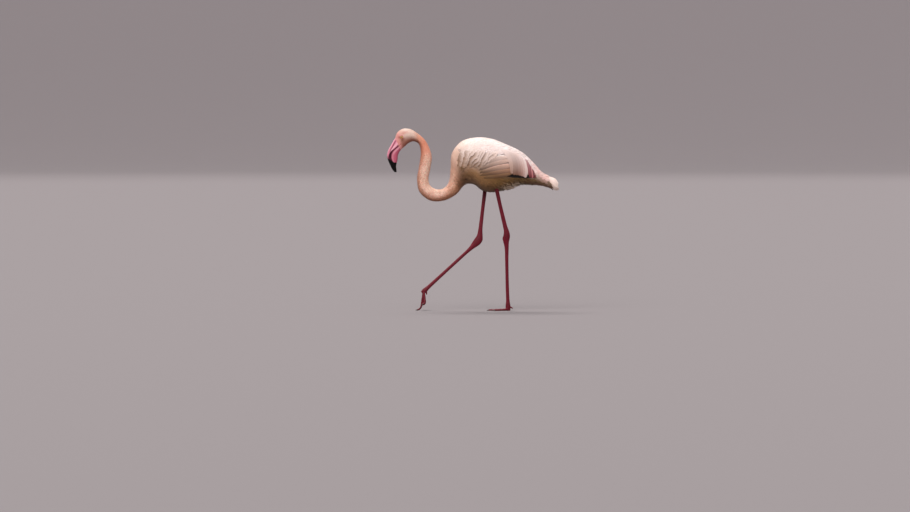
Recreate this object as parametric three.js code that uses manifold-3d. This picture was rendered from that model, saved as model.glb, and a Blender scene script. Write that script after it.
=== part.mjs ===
// Greater flamingo, life size, wading slowly forward with its neck lowered in a deep U.
//
// Millimetres, +Z up. The bird faces -X and its left side faces -Y. The origin is on the floor, below the
// middle of its bounding box. The left leg stands with its foot flat. The right leg reaches forward, bent at
// the ankle, and touches the floor with the end of its middle toe.
//
// Head, neck, trunk and tail are one loft, parted by thin cuts. A station of a loft is one cross-section: its
// dorsal and ventral outline points in the bird's middle plane, as [x, z], and its half width. They are
// measured over the plumage.

import * as THREE from "three";
import { mergeVertices } from "three/addons/utils/BufferGeometryUtils.js";
import Module from "manifold-3d";

const wasm = await Module();
wasm.setup();

const CUT = 0.5; // gap between two parts of one body
const CLEARANCE = 0.3; // gap between a part and what it lies on

// ---------- materials ----------

const finish = (color, roughness) => new THREE.MeshStandardMaterial({ color, roughness, metalness: 0 });
const PLUMAGE = finish("#f3ded9", 0.85);
const WING_PLUMAGE = finish("#efcfcc", 0.8);
const NECK_PLUMAGE = finish("#e6b8a6", 0.85);
const LEG_SKIN = finish("#8f2a40", 0.5);
const BILL_PINK = finish("#d98b9d", 0.35);
const CLAW_HORN = finish("#2b2320", 0.4);
const EYE = finish("#e8d27a", 0.1);

// ---------- solids from rings ----------

const group = new THREE.Group();

function solidOf(geometry) {
  const bare = geometry.clone();
  bare.deleteAttribute("normal");
  bare.deleteAttribute("uv");
  const merged = mergeVertices(bare, 1e-4);
  return new wasm.Manifold(
    new wasm.Mesh({
      numProp: 3,
      vertProperties: new Float32Array(merged.attributes.position.array),
      triVerts: new Uint32Array(merged.index.array),
    }),
  );
}

function addPart(name, solid, material) {
  const { vertProperties, triVerts } = solid.getMesh();
  const geometry = new THREE.BufferGeometry()
    .setAttribute("position", new THREE.BufferAttribute(vertProperties, 3))
    .setIndex(new THREE.BufferAttribute(triVerts, 1));
  geometry.computeVertexNormals();
  const mesh = new THREE.Mesh(geometry, material);
  mesh.name = name;
  group.add(mesh);
}

// A closed skin over rings of equally many points, with a fan over each end.
function skinOver(rings) {
  const sides = rings[0].length;
  const points = rings.flat();
  const faces = [];
  for (let i = 0; i + 1 < rings.length; i++)
    for (let j = 0; j < sides; j++) {
      const a = i * sides + j;
      const b = i * sides + ((j + 1) % sides);
      faces.push(a, b, a + sides, b, b + sides, a + sides);
    }
  const middle = (ring) => ring.reduce((sum, p) => sum.add(p), new THREE.Vector3()).divideScalar(sides);
  const start = points.push(middle(rings[0])) - 1;
  const end = points.push(middle(rings.at(-1))) - 1;
  const last = (rings.length - 1) * sides;
  for (let j = 0; j < sides; j++) {
    const next = (j + 1) % sides;
    faces.push(start, next, j, end, last + j, last + next);
  }
  const geometry = new THREE.BufferGeometry().setFromPoints(points).setIndex(faces);
  const solid = solidOf(geometry);
  if (solid.volume() > 0) return solid;
  for (let i = 0; i < faces.length; i += 3) [faces[i + 1], faces[i + 2]] = [faces[i + 2], faces[i + 1]];
  return solidOf(geometry.setIndex(faces));
}

// ---------- lofts ----------

// side is the Y of the section's middle, and pear makes it that share wider below than above.
function station(name, dorsal, ventral, half, side = 0, pear = 0) {
  return { name, dorsal, ventral, half, side, pear };
}

// A smooth curve through every number of the stations, against the distance along their middles.
class Loft {
  constructor(stations) {
    this.names = stations.map((s) => s.name);
    const rows = stations.map((s) => [...s.dorsal, ...s.ventral, s.half, s.side, s.pear]);
    const middle = ({ dorsal, ventral, side }) =>
      new THREE.Vector3((dorsal[0] + ventral[0]) / 2, side, (dorsal[1] + ventral[1]) / 2);
    const middles = stations.map(middle);
    this.knots = [0];
    middles.slice(1).forEach((p, i) => this.knots.push(this.knots[i] + p.distanceTo(middles[i])));
    this.curve = new THREE.CubicInterpolant(this.knots, rows.flat(), rows[0].length);
    this.length = this.knots.at(-1);
  }

  // The distance of a named station, or of a place a share of the way on to the next one.
  place(name, share = 0) {
    const i = this.names.indexOf(name);
    return share ? THREE.MathUtils.lerp(this.knots[i], this.knots[i + 1], share) : this.knots[i];
  }

  // A point of the surface: angle is 0 on the back and 180 degrees on the belly, and grow moves it outwards.
  point(t, angle, grow = 0) {
    const [dx, dz, vx, vz, half, side, pear] = this.curve.evaluate(Math.min(t, this.length));
    const depth = Math.hypot(dx - vx, dz - vz) / 2;
    const reach = (Math.cos(angle) * (depth + grow)) / depth;
    return new THREE.Vector3(
      (dx + vx) / 2 + ((dx - vx) / 2) * reach,
      side + (half + grow) * Math.sin(angle) * (1 - pear * Math.cos(angle)),
      (dz + vz) / 2 + ((dz - vz) / 2) * reach,
    );
  }

  ring(t, sides, grow = 0) {
    return Array.from({ length: sides }, (_, j) => this.point(t, (2 * Math.PI * j) / sides, grow));
  }

  solid(from, to, steps, sides, grow = 0) {
    const at = (i) => THREE.MathUtils.lerp(from, to, i / steps);
    return skinOver(Array.from({ length: steps + 1 }, (_, i) => this.ring(at(i), sides, grow)));
  }
}

// ---------- head, neck, trunk and tail ----------

const BODY = new Loft([
  station("bill root", [-321, 705], [-297.5, 657], 15),
  station("brow", [-312, 731], [-280, 672], 21),
  station("crown", [-285, 748], [-264, 686], 25),
  station("hind crown", [-254, 745], [-247, 693], 23),
  station("nape", [-228, 729], [-232, 690], 18),
  station("neck hook", [-199, 704], [-221, 679], 16),
  station("upper neck", [-179, 670], [-216, 658], 18),
  station("neck swell", [-169, 634], [-216, 632], 21),
  station("mid neck", [-174, 585], [-223, 585], 21),
  station("lower neck", [-182, 542], [-230, 536], 21),
  station("bend front", [-176, 515], [-220, 487], 21),
  station("bend low", [-150, 499], [-175, 451], 22),
  station("bend rear", [-121, 503], [-119, 451], 24),
  station("neck root", [-99, 531], [-68, 477], 30),
  station("breast", [-93, 585], [-38, 510], 44, 0, 0.05),
  station("wishbone", [-88, 645], [-14, 519], 60, 0, 0.08),
  station("shoulder", [-53, 692], [8, 514], 71, 0, 0.1),
  station("back", [4, 711], [39, 492], 79, 0, 0.1),
  station("saddle", [70, 708], [82, 485], 82, 0, 0.08),
  station("loin", [135, 684], [133, 496], 76, 0, 0.04),
  station("rump", [197, 654], [184, 515], 60),
  station("vent", [246, 610], [242, 516], 43),
  station("tail root", [287, 565], [289, 511], 34),
  station("tail middle", [316, 551], [316, 503], 34),
  station("tail end", [340, 540], [340, 491], 32),
  station("tail tip", [351, 524], [351.9, 495], 25),
]);

const NECK_SIDES = 16;
const TRUNK_SIDES = 28;

// Each part runs from the cut before it to its own, and steps is how many rings it has along the body.
const NECK = { sides: NECK_SIDES, material: NECK_PLUMAGE };
const CUTS = [
  { name: "head", from: 0, to: BODY.place("nape"), steps: 12, sides: 20, material: PLUMAGE },
  { name: "neck_upper", to: BODY.place("neck swell", 0.4), steps: 8, ...NECK },
  { name: "neck_middle", to: BODY.place("lower neck"), steps: 4, ...NECK },
  { name: "neck_bend", to: BODY.place("bend low", 0.5), steps: 8, ...NECK },
  { name: "neck_root", to: BODY.place("breast"), steps: 8, ...NECK },
  { name: "trunk", to: BODY.place("tail root"), steps: 16, sides: TRUNK_SIDES, material: PLUMAGE },
  { name: "tail", to: BODY.length, steps: 5, sides: 20, material: PLUMAGE },
];

const flesh = new Map();
let start = 0;
for (const { name, to, steps, sides, material } of CUTS) {
  const from = start === 0 ? 0 : start + CUT / 2;
  const end = to === BODY.length ? to : to - CUT / 2;
  flesh.set(name, { solid: BODY.solid(from, end, steps, sides), material });
  start = to;
}

// ---------- eyes ----------

const EYE_CENTRE = [-293, 712];
const EYE_RADIUS = 6;
const EYE_SIDE = 16.5; // from the middle plane to each eye's centre

function ball(radius, x, y, z) {
  return solidOf(new THREE.SphereGeometry(radius, 12, 7).rotateX(Math.PI / 2).translate(x, y, z));
}

for (const [name, side] of [["eye_left", -1], ["eye_right", 1]]) {
  const place = [EYE_CENTRE[0], side * EYE_SIDE, EYE_CENTRE[1]];
  const head = flesh.get("head");
  head.solid = head.solid.subtract(ball(EYE_RADIUS + CLEARANCE, ...place));
  addPart(name, ball(EYE_RADIUS, ...place), EYE);
}

// ---------- bill ----------

// From the feathers' edge to the tip: the ridge, then the bend, then the hooked end. The cut between its two
// halves runs from the corner of the mouth along the commissure.
const BILL = new Loft([
  station("bill root", [-321, 705], [-297.5, 657], 14.5),
  station("nostril", [-334, 682], [-304, 647], 14.5),
  station("keel", [-347, 658], [-308, 633], 14.5),
  station("bend", [-352, 636], [-309, 619], 14),
  station("black edge", [-348, 616], [-312, 607], 12.5),
  station("hook", [-340, 597], [-315, 592], 10.5),
  station("nail", [-331, 579], [-313.5, 577], 8),
  station("tip", [-322, 568], [-313, 568], 5),
]);
const COMMISSURE = [
  [-295, 685],
  [-312, 669],
  [-331, 653],
  [-337, 642],
  [-338, 627],
  [-332, 612],
  [-325, 594],
  [-318, 576],
  [-316, 560],
];
const BILL_WIDTH = 60; // wider than the bill, so that the cut goes right through

function commissureSheet() {
  const curve = new THREE.CatmullRomCurve3(COMMISSURE.map(([x, z]) => new THREE.Vector3(x, 0, z)));
  const rings = curve.getSpacedPoints(16).map((p, i) => {
    const tangent = curve.getTangentAt(i / 16);
    const across = new THREE.Vector3(-tangent.z, 0, tangent.x).multiplyScalar(CUT / 2);
    return [[1, -1], [1, 1], [-1, 1], [-1, -1]].map(([out, side]) =>
      p.clone().addScaledVector(across, out).setY((side * BILL_WIDTH) / 2),
    );
  });
  return skinOver(rings);
}

const halves = BILL.solid(CUT, BILL.length, 15, 16).subtract(commissureSheet()).decompose();
halves.sort((a, b) => a.boundingBox().min[0] - b.boundingBox().min[0]);
addPart("bill_upper", halves[0], BILL_PINK);
addPart("bill_lower", halves[1], BILL_PINK);

// ---------- folded wings ----------

// A wing lies on the trunk between an upper and a lower edge, given in degrees round the trunk at each place
// along it, from the wrist at the breast to the wing tip above the tail.
const WING_PLAN = [
  { at: BODY.place("wishbone", 0.2), upper: 54, lower: 62 },
  { at: BODY.place("wishbone", 0.6), upper: 36, lower: 84 },
  { at: BODY.place("shoulder", 0.3), upper: 26, lower: 97 },
  { at: BODY.place("back"), upper: 23, lower: 105 },
  { at: BODY.place("saddle"), upper: 20, lower: 110 },
  { at: BODY.place("loin"), upper: 20, lower: 116 },
  { at: BODY.place("rump"), upper: 25, lower: 126 },
  { at: BODY.place("rump", 0.6), upper: 38, lower: 125 },
  { at: BODY.place("vent"), upper: 60, lower: 116 },
  { at: BODY.place("vent", 0.4), upper: 86, lower: 104 },
];
const WING_EDGES = new THREE.CubicInterpolant(
  WING_PLAN.map((row) => row.at),
  WING_PLAN.flatMap((row) => [row.upper, row.lower].map(THREE.MathUtils.degToRad)),
  2,
);
const WING_THICK = 10; // at its middle, where the coverts bulge
const WING_EDGE = 2.5;
const WING_SUNK = -3; // how far inside the trunk its rough inner face starts, before the trunk is cut away
const WING_STEPS = 15;
const WING_ROWS = 8;

function wing(side) {
  const [front, rear] = [WING_PLAN[0].at, WING_PLAN.at(-1).at];
  const rings = Array.from({ length: WING_STEPS + 1 }, (_, i) => {
    const along = i / WING_STEPS;
    const t = THREE.MathUtils.lerp(front, rear, along);
    const [upper, lower] = WING_EDGES.evaluate(t);
    const row = (j, inner) => {
      const angle = side * THREE.MathUtils.lerp(upper, lower, j / WING_ROWS);
      const bulge = Math.sqrt(Math.sin((Math.PI * j) / WING_ROWS) * Math.sin(Math.PI * (0.1 + along * 0.88)));
      return BODY.point(t, angle, inner ? WING_SUNK : WING_EDGE + (WING_THICK - WING_EDGE) * bulge);
    };
    const rows = [...Array(WING_ROWS + 1).keys()];
    return [...rows.map((j) => row(j, false)), ...rows.reverse().map((j) => row(j, true))];
  });
  return skinOver(rings);
}

const trunkCut = CUTS.findIndex((cut) => cut.name === "trunk");
const [trunkFrom, trunkTo] = [CUTS[trunkCut - 1].to, CUTS[trunkCut].to];
const { steps: trunkSteps } = CUTS[trunkCut];
const trunkAndClearance = BODY.solid(trunkFrom - CUT, trunkTo + CUT, trunkSteps, TRUNK_SIDES, CLEARANCE);
for (const [name, side] of [["wing_left", -1], ["wing_right", 1]])
  addPart(name, wing(side).subtract(trunkAndClearance), WING_PLUMAGE);

for (const [name, { solid, material }] of flesh) addPart(name, solid, material);

// ---------- legs ----------

// Stations down each leg, with the front and the back outline points of the section. The bare shank leaves
// the belly feathers, the ankle is a knob, and the tarsus is deeper from front to back than it is wide.
const LEFT_LEG = new Loft([
  station("hip", [82, 519], [98, 523], 8, -36),
  station("belly", [89.5, 490], [105.5, 494], 7.2, -34),
  station("shank", [103, 432], [118, 436], 6, -30.5),
  station("lower shank", [114.5, 381], [130.5, 385], 5.8, -27),
  station("above ankle", [122.5, 345], [140.5, 347], 6.6, -24.5),
  station("ankle back", [126, 324], [148.5, 325], 8.5, -23.2),
  station("ankle", [124, 309], [151.5, 310], 9.4, -22.2),
  station("ankle front", [120.5, 297], [150.5, 296], 9, -21.2),
  station("below ankle", [123.5, 283], [147.5, 283], 7.4, -20.2),
  station("upper tarsus", [128.5, 262], [146.5, 262], 5.8, -18.8),
  station("tarsus", [131, 205], [145.5, 205], 5, -15.2),
  station("lower tarsus", [133.5, 90], [148, 90], 5, -8),
  station("above toes", [135, 34], [151, 34], 6, -4.5),
  station("toe joint", [133.5, 17], [153.5, 17], 7.4, -4),
  station("sole", [136.5, -1], [152.5, -1], 6.5, -4),
]);

const TARSUS_TOP = [-18.5, 247]; // the middle of the right tarsus just below its ankle
const TARSUS_DROP = THREE.MathUtils.degToRad(42.5); // how steeply it slopes down and forward from there
const TARSUS_REACH = 249.4; // from there to the toe joint

// A point on the right tarsus: along it from its top, and out from its middle towards its front or back.
function onTarsus(along, out) {
  const [c, s] = [Math.cos(TARSUS_DROP), Math.sin(TARSUS_DROP)];
  return [TARSUS_TOP[0] - c * along - s * out, TARSUS_TOP[1] - s * along + c * out];
}
const tarsusStation = (name, along, depth, half, side) =>
  station(name, onTarsus(along, depth / 2), onTarsus(along, -depth / 2), half, side);

const RIGHT_LEG = new Loft([
  station("hip", [42.5, 519], [59, 517], 8, 36),
  station("belly", [39.5, 484], [56, 483], 7, 34),
  station("shank", [32.5, 419], [47.5, 418], 6, 30),
  station("lower shank", [26, 366], [42, 365], 5.8, 27),
  station("above ankle", [20.5, 328], [39, 330], 6.8, 25.5),
  station("ankle back", [15.5, 308], [40, 305], 8.6, 25),
  station("ankle", [6, 294], [39, 287], 9.4, 24.5),
  station("ankle front", [-4.5, 278], [27, 270], 9, 24),
  station("below ankle", [-12.5, 265], [2.5, 253.5], 7.4, 23.5),
  tarsusStation("upper tarsus", 6, 14.5, 5.8, 23),
  tarsusStation("tarsus", 60, 13.5, 5, 21.5),
  tarsusStation("lower tarsus", 170, 14, 5, 18),
  tarsusStation("above toes", TARSUS_REACH - 20, 16, 6, 15.8),
  tarsusStation("toe joint", TARSUS_REACH, 19, 7.4, 15),
  tarsusStation("sole", TARSUS_REACH + 9, 13, 5.5, 15),
]);

const LEG_SIDES = 12;

function addLeg(side, loft) {
  const cuts = [
    { name: "shank", from: 0, to: loft.place("above ankle"), steps: 6 },
    { name: "ankle", from: loft.place("above ankle"), to: loft.place("below ankle"), steps: 7 },
    { name: "tarsus", from: loft.place("below ankle"), to: loft.place("above toes"), steps: 7 },
  ];
  for (const { name, from, to, steps } of cuts) {
    const piece = loft.solid(from + CUT / 2, to - CUT / 2, steps, LEG_SIDES);
    addPart(`${name}_${side}`, name === "shank" ? piece.subtract(trunkAndClearance) : piece, LEG_SKIN);
  }
}
addLeg("left", LEFT_LEG);
addLeg("right", RIGHT_LEG);

// ---------- feet ----------

// Three front toes joined by webs, and a short hind toe above the heel. spread is measured in the foot's own
// plane, from straight ahead towards the bird's outer side, and length includes the claw.
const TOES = [
  { name: "inner", spread: -34, length: 75, claw: 8 },
  { name: "middle", spread: 0, length: 93, claw: 9 },
  { name: "outer", spread: 34, length: 81, claw: 8 },
];
const HIND_RADIUS = 3.1;
const TOE_RADIUS = 4.6; // at its root
const SLIMMER = 0.4; // the share it has lost at the claw
const JOINTS = [0.34, 0.6, 0.82]; // shares of a toe's length where a knuckle swells
const KNUCKLE = 0.12;
const SOLE_CUT = 0.5; // how much of the toes' round undersides the floor flattens
const WEB = { thick: 1.8, from: 0.05, to: 0.82, scallop: 0.2, steps: 4, across: 3 };
const TOE_STEPS = 11;
const TOE_SIDES = 8;
const FLOOR = solidOf(new THREE.BoxGeometry(2000, 400, 40).translate(0, 0, -20));

// How steeply a toe runs down at each share of its length, in degrees below the horizontal.
const standingDip = (share) => THREE.MathUtils.lerp(40, 12, THREE.MathUtils.smoothstep(share, 0.1, 0.3));
const reachingDip = (share) => THREE.MathUtils.lerp(81, 8, THREE.MathUtils.smoothstep(share, 0.6, 0.96));

function toeRadius(share) {
  const knuckles = JOINTS.map((j) => Math.exp(-(((share - j) / 0.06) ** 2)));
  return TOE_RADIUS * (1 - SLIMMER * share) * (1 + KNUCKLE * Math.max(...knuckles));
}

function toePath(root, spread, length, dip, radiusAt) {
  const turn = THREE.MathUtils.degToRad(spread);
  const path = [root.clone()];
  for (let i = 1; i <= TOE_STEPS; i++) {
    const down = THREE.MathUtils.degToRad(dip((i - 0.5) / TOE_STEPS) / Math.cos(turn));
    const ahead = Math.cos(turn);
    const step = new THREE.Vector3(-Math.cos(down) * ahead, Math.sin(turn), -Math.sin(down) * ahead);
    const p = path.at(-1).clone().addScaledVector(step, length / TOE_STEPS);
    p.z = Math.max(p.z, radiusAt(i / TOE_STEPS) - SOLE_CUT);
    path.push(p);
  }
  return path;
}

// Rings round a path, of a radius at each share of it.
function alongPath(path, radiusAt) {
  const last = path.length - 1;
  return path.map((p, i) => {
    const ahead = path[Math.min(i + 1, last)].clone().sub(path[Math.max(i - 1, 0)]).normalize();
    const across = new THREE.Vector3(0, 1, 0).addScaledVector(ahead, -ahead.y).normalize();
    const up = new THREE.Vector3().crossVectors(ahead, across);
    const radius = radiusAt(i / last);
    return Array.from({ length: TOE_SIDES }, (_, j) => {
      const angle = (2 * Math.PI * j) / TOE_SIDES;
      const out = across.clone().multiplyScalar(Math.cos(angle)).addScaledVector(up, Math.sin(angle));
      return p.clone().addScaledVector(out, radius);
    });
  });
}

// The web between two toes: a thin sheet from their roots to a scalloped front edge.
function web(first, second) {
  const at = (path, share) => {
    const place = share * (path.length - 1);
    const i = Math.floor(place);
    return path[i].clone().lerp(path[i + 1], place - i);
  };
  const middle = (row, v) => {
    const share = WEB.from + (WEB.to - WEB.from) * row * (1 - WEB.scallop * 4 * v * (1 - v) * row);
    return at(first, share).lerp(at(second, share), v);
  };
  const rings = Array.from({ length: WEB.steps + 1 }, (_, i) => {
    const row = i / WEB.steps;
    const face = (out) =>
      Array.from({ length: WEB.across + 1 }, (_, j) => {
        const v = j / WEB.across;
        const along = middle(row + 0.01, v).sub(middle(row - 0.01, v));
        const over = middle(row, v + 0.01).sub(middle(row, v - 0.01));
        return middle(row, v).addScaledVector(along.cross(over).normalize(), (out * WEB.thick) / 2);
      });
    return [...face(1), ...face(-1).reverse()];
  });
  return skinOver(rings);
}

// A foot is everything below the tarsus but its claws: the toe joint, the toes, their webs and the hind toe.
function addFoot(side, loft, root, hindToe, dip, outward) {
  const joint = loft.solid(loft.place("above toes") + CUT / 2, loft.length, 5, LEG_SIDES);
  const claws = [];
  const paths = [];
  const toes = TOES.map(({ name, spread, length, claw }) => {
    const clawFrom = Math.round(TOE_STEPS * (1 - claw / length));
    const clawShare = (share) => Math.max(0, (share * TOE_STEPS - clawFrom) / (TOE_STEPS - clawFrom));
    const radiusAt = (share) => toeRadius(share) * Math.sqrt(1 - 0.94 * clawShare(share) ** 2);
    const path = toePath(root, spread * outward, length, dip, radiusAt);
    const rings = alongPath(path, radiusAt);
    const gap = path[clawFrom + 1].clone().sub(path[clawFrom]).setLength(CUT);
    const clawRoot = rings[clawFrom].map((p) => p.clone().add(gap));
    claws.push({ name: `claw_${side}_${name}`, solid: skinOver([clawRoot, ...rings.slice(clawFrom + 1)]) });
    paths.push(path);
    return skinOver(rings.slice(0, clawFrom + 1));
  });
  const hind = skinOver(alongPath(hindToe, (share) => HIND_RADIUS * Math.sqrt(1 - share * share * 0.9)));
  const foot = wasm.Manifold.union([joint, hind, ...toes, web(paths[0], paths[1]), web(paths[1], paths[2])]);
  addPart(`foot_${side}`, foot.subtract(FLOOR), LEG_SKIN);
  for (const { name, solid } of claws) addPart(name, solid.subtract(FLOOR), CLAW_HORN);
}

const onLeft = (x, z) => new THREE.Vector3(x, -4, z);
const LEFT_HIND_TOE = [onLeft(149, 16), onLeft(155, 14), onLeft(160, 11), onLeft(162.5, 7.5)];
addFoot("left", LEFT_LEG, onLeft(143.5, 13), LEFT_HIND_TOE, standingDip, -1);

const onRight = (along, out) => {
  const [x, z] = onTarsus(TARSUS_REACH + along, out);
  return new THREE.Vector3(x, 15, z);
};
const RIGHT_HIND_TOE = [onRight(-9, -6), onRight(-5, -11), onRight(-2, -15), onRight(0, -18.5)];
addFoot("right", RIGHT_LEG, onRight(0, 0), RIGHT_HIND_TOE, reachingDip, 1);

export default group;
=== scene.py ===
"""Greater flamingo, life size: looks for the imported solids. Metres, +Z up. The bird faces -X."""

import math

import bpy
import numpy as np
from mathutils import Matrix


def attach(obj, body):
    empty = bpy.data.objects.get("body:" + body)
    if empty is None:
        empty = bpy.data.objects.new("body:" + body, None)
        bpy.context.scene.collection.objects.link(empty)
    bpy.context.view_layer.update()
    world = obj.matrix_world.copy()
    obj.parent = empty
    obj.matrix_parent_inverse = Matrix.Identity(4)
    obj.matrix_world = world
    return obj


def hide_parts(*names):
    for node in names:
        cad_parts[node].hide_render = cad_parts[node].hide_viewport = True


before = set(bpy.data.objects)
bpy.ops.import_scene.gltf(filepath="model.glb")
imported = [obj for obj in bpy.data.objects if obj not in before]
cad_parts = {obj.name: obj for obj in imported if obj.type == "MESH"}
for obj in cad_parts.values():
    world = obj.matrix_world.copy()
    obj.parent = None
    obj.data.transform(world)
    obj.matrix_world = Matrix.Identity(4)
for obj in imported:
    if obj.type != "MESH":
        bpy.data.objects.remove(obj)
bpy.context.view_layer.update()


# ---------- camera ----------
# A long lens far off on the bird's left side, which sees it with next to no perspective. It stands a little
# higher than the bird's back, so that the floor runs up behind the bird to the height of its flank.

DOT = 0.0041  # metres of bird that one picture dot covers, in a picture 910 dots wide
CAMERA_DISTANCE = 31.0
CAMERA_HEIGHT = 1.036
PICTURE_MIDDLE = (-0.074, 0.2243)  # the point of the bird's middle plane, X and Z, at the picture's middle
SENSOR = 36.0

camera_data = bpy.data.cameras.new("camera")
camera_data.sensor_width = SENSOR
camera_data.lens = SENSOR * CAMERA_DISTANCE / (910 * DOT)
camera_data.clip_end = 200
camera = bpy.data.objects.new("camera", camera_data)
camera.location = (PICTURE_MIDDLE[0], -CAMERA_DISTANCE, CAMERA_HEIGHT)
dip = math.atan((CAMERA_HEIGHT - PICTURE_MIDDLE[1]) / CAMERA_DISTANCE)
camera.rotation_euler = (math.pi / 2 - dip, 0, 0)
bpy.context.scene.collection.objects.link(camera)
bpy.context.scene.camera = camera


# ---------- studio ----------
# A wide round floor of pale grey plaster that curves up into its wall, lit by one soft light from above and a
# little behind the bird, a broader one from the camera's side, and an even glow all round.

FLOOR_RADIUS = 38.0
COVE_RADIUS = 8.0
WALL_TOP = 16.0
PLASTER_TONES = ("#7d787b", "#868083")


def linear(hexes):
    """An sRGB hex colour as linear red, green and blue."""
    srgb = np.array([int(hexes[i : i + 2], 16) / 255 for i in (1, 3, 5)])
    return np.where(srgb <= 0.04045, srgb / 12.92, ((srgb + 0.055) / 1.055) ** 2.4)


def set_inputs(node, settings):
    """Set a shader node's properties, and its inputs by name or number. A node's output becomes a link."""
    for key, value in settings.items():
        if isinstance(key, str) and hasattr(node, key):
            setattr(node, key, value)
        elif hasattr(value, "links"):
            node.id_data.links.new(value, node.inputs[key])
        else:
            socket = node.inputs[key]
            socket.default_value = (*value, 1.0) if socket.type == "RGBA" else value


def add_node(material, kind, settings=None, output=0):
    """A new shader node's output, with the node's settings and links."""
    node = material.node_tree.nodes.new("ShaderNode" + kind)
    set_inputs(node, settings or {})
    return node.outputs[output]


def new_material(name, **settings):
    """A material and its Principled shader, set by input name with underscores for spaces."""
    material = bpy.data.materials.new(name)
    material.use_nodes = True
    shader = material.node_tree.nodes["Principled BSDF"]
    set_inputs(shader, {key.replace("_", " "): value for key, value in settings.items()})
    return material, shader


def make_mesh(name, points, face_sets):
    """A smooth mesh of points, (n, 3), and arrays of faces that each have one number of corners."""
    mesh = bpy.data.meshes.new(name)
    face_sets = [np.asarray(faces, dtype=np.int32) for faces in face_sets]
    corners = np.concatenate([faces.ravel() for faces in face_sets])
    sizes = np.concatenate([np.full(len(faces), faces.shape[1]) for faces in face_sets])
    mesh.vertices.add(len(points))
    mesh.vertices.foreach_set("co", np.asarray(points, dtype=np.float32).ravel())
    mesh.loops.add(len(corners))
    mesh.loops.foreach_set("vertex_index", corners)
    mesh.polygons.add(len(sizes))
    mesh.polygons.foreach_set("loop_start", np.concatenate([[0], np.cumsum(sizes)[:-1]]).astype(np.int32))
    mesh.polygons.foreach_set("use_smooth", np.ones(len(sizes), dtype=bool))
    mesh.update(calc_edges=True)
    return mesh


def add_object(name, mesh, *materials):
    """A new piece in the scene, of a mesh with its materials."""
    piece = bpy.data.objects.new(name, mesh)
    for material in materials:
        mesh.materials.append(material)
    bpy.context.scene.collection.objects.link(piece)
    return piece


def grid_faces(rows, columns, closed=False):
    """Faces of a grid of points, rows by columns, whose columns may close into rings."""
    i, j = np.meshgrid(np.arange(rows - 1), np.arange(columns if closed else columns - 1), indexing="ij")
    a, b = i * columns + j, i * columns + (j + 1) % columns
    return np.stack([a, a + columns, b + columns, b], -1).reshape(-1, 4)


cove = np.linspace(0, math.pi / 2, 13)
bowl_profile = np.array(
    [(0.0, 0.0), (FLOOR_RADIUS * 0.3, 0.0)]
    + [(FLOOR_RADIUS + COVE_RADIUS * math.sin(a), COVE_RADIUS * (1 - math.cos(a))) for a in cove]
    + [(FLOOR_RADIUS + COVE_RADIUS, WALL_TOP)]
)
around = np.linspace(0, 2 * math.pi, 96, endpoint=False)
bowl = np.stack(
    [
        bowl_profile[:, :1] * np.cos(around),
        bowl_profile[:, :1] * np.sin(around),
        np.repeat(bowl_profile[:, 1:], len(around), axis=1),
    ],
    -1,
)
# Pale plaster: matt, with faint broad clouds left by the trowel.
PLASTER_CLOUD = 1.43
plaster, plaster_shader = new_material("pale_plaster", Roughness=0.9)
clouding = add_node(plaster, "TexNoise", {"Scale": 1 / PLASTER_CLOUD, "Detail": 4.0})
plaster_tones = {"data_type": "RGBA", 0: clouding, 6: linear(PLASTER_TONES[0]), 7: linear(PLASTER_TONES[1])}
set_inputs(plaster_shader, {"Base Color": add_node(plaster, "Mix", plaster_tones, 2)})
bowl_mesh = make_mesh("studio_floor", bowl.reshape(-1, 3), [grid_faces(len(bowl_profile), len(around), True)])
add_object("studio_floor", bowl_mesh, plaster)


def add_soft_light(name, rise, turn, spread, strength, colour):
    """A far soft light, its rise, turn and spread in degrees. At a turn of 0 it faces the camera."""
    light = bpy.data.lights.new(name, "SUN")
    light.angle = math.radians(spread)
    light.energy = strength
    light.color = linear(colour)
    lamp = bpy.data.objects.new(name, light)
    lamp.rotation_euler = (math.radians(rise - 90), 0, math.radians(turn))
    bpy.context.scene.collection.objects.link(lamp)


add_soft_light("overhead_light", 62, 15, 30, 2.3, "#fffaf6")
add_soft_light("front_light", 42, 165, 50, 2.7, "#fff8f6")
world = bpy.data.worlds.new("studio_glow")
world.use_nodes = True
set_inputs(world.node_tree.nodes["Background"], {"Color": linear("#f3f0ee"), "Strength": 0.45})
bpy.context.scene.world = world
bpy.context.scene.view_settings.view_transform = "Standard"


# ---------- skin of head, neck, trunk and tail ----------
# Thin skin over muscle, set with down. It is one closed form through cross-sections, as the solids are, and
# lies inside them by the coat's depth. It makes the socket and lids round each eye, and is bare on the lores.

MM = 0.001
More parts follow.
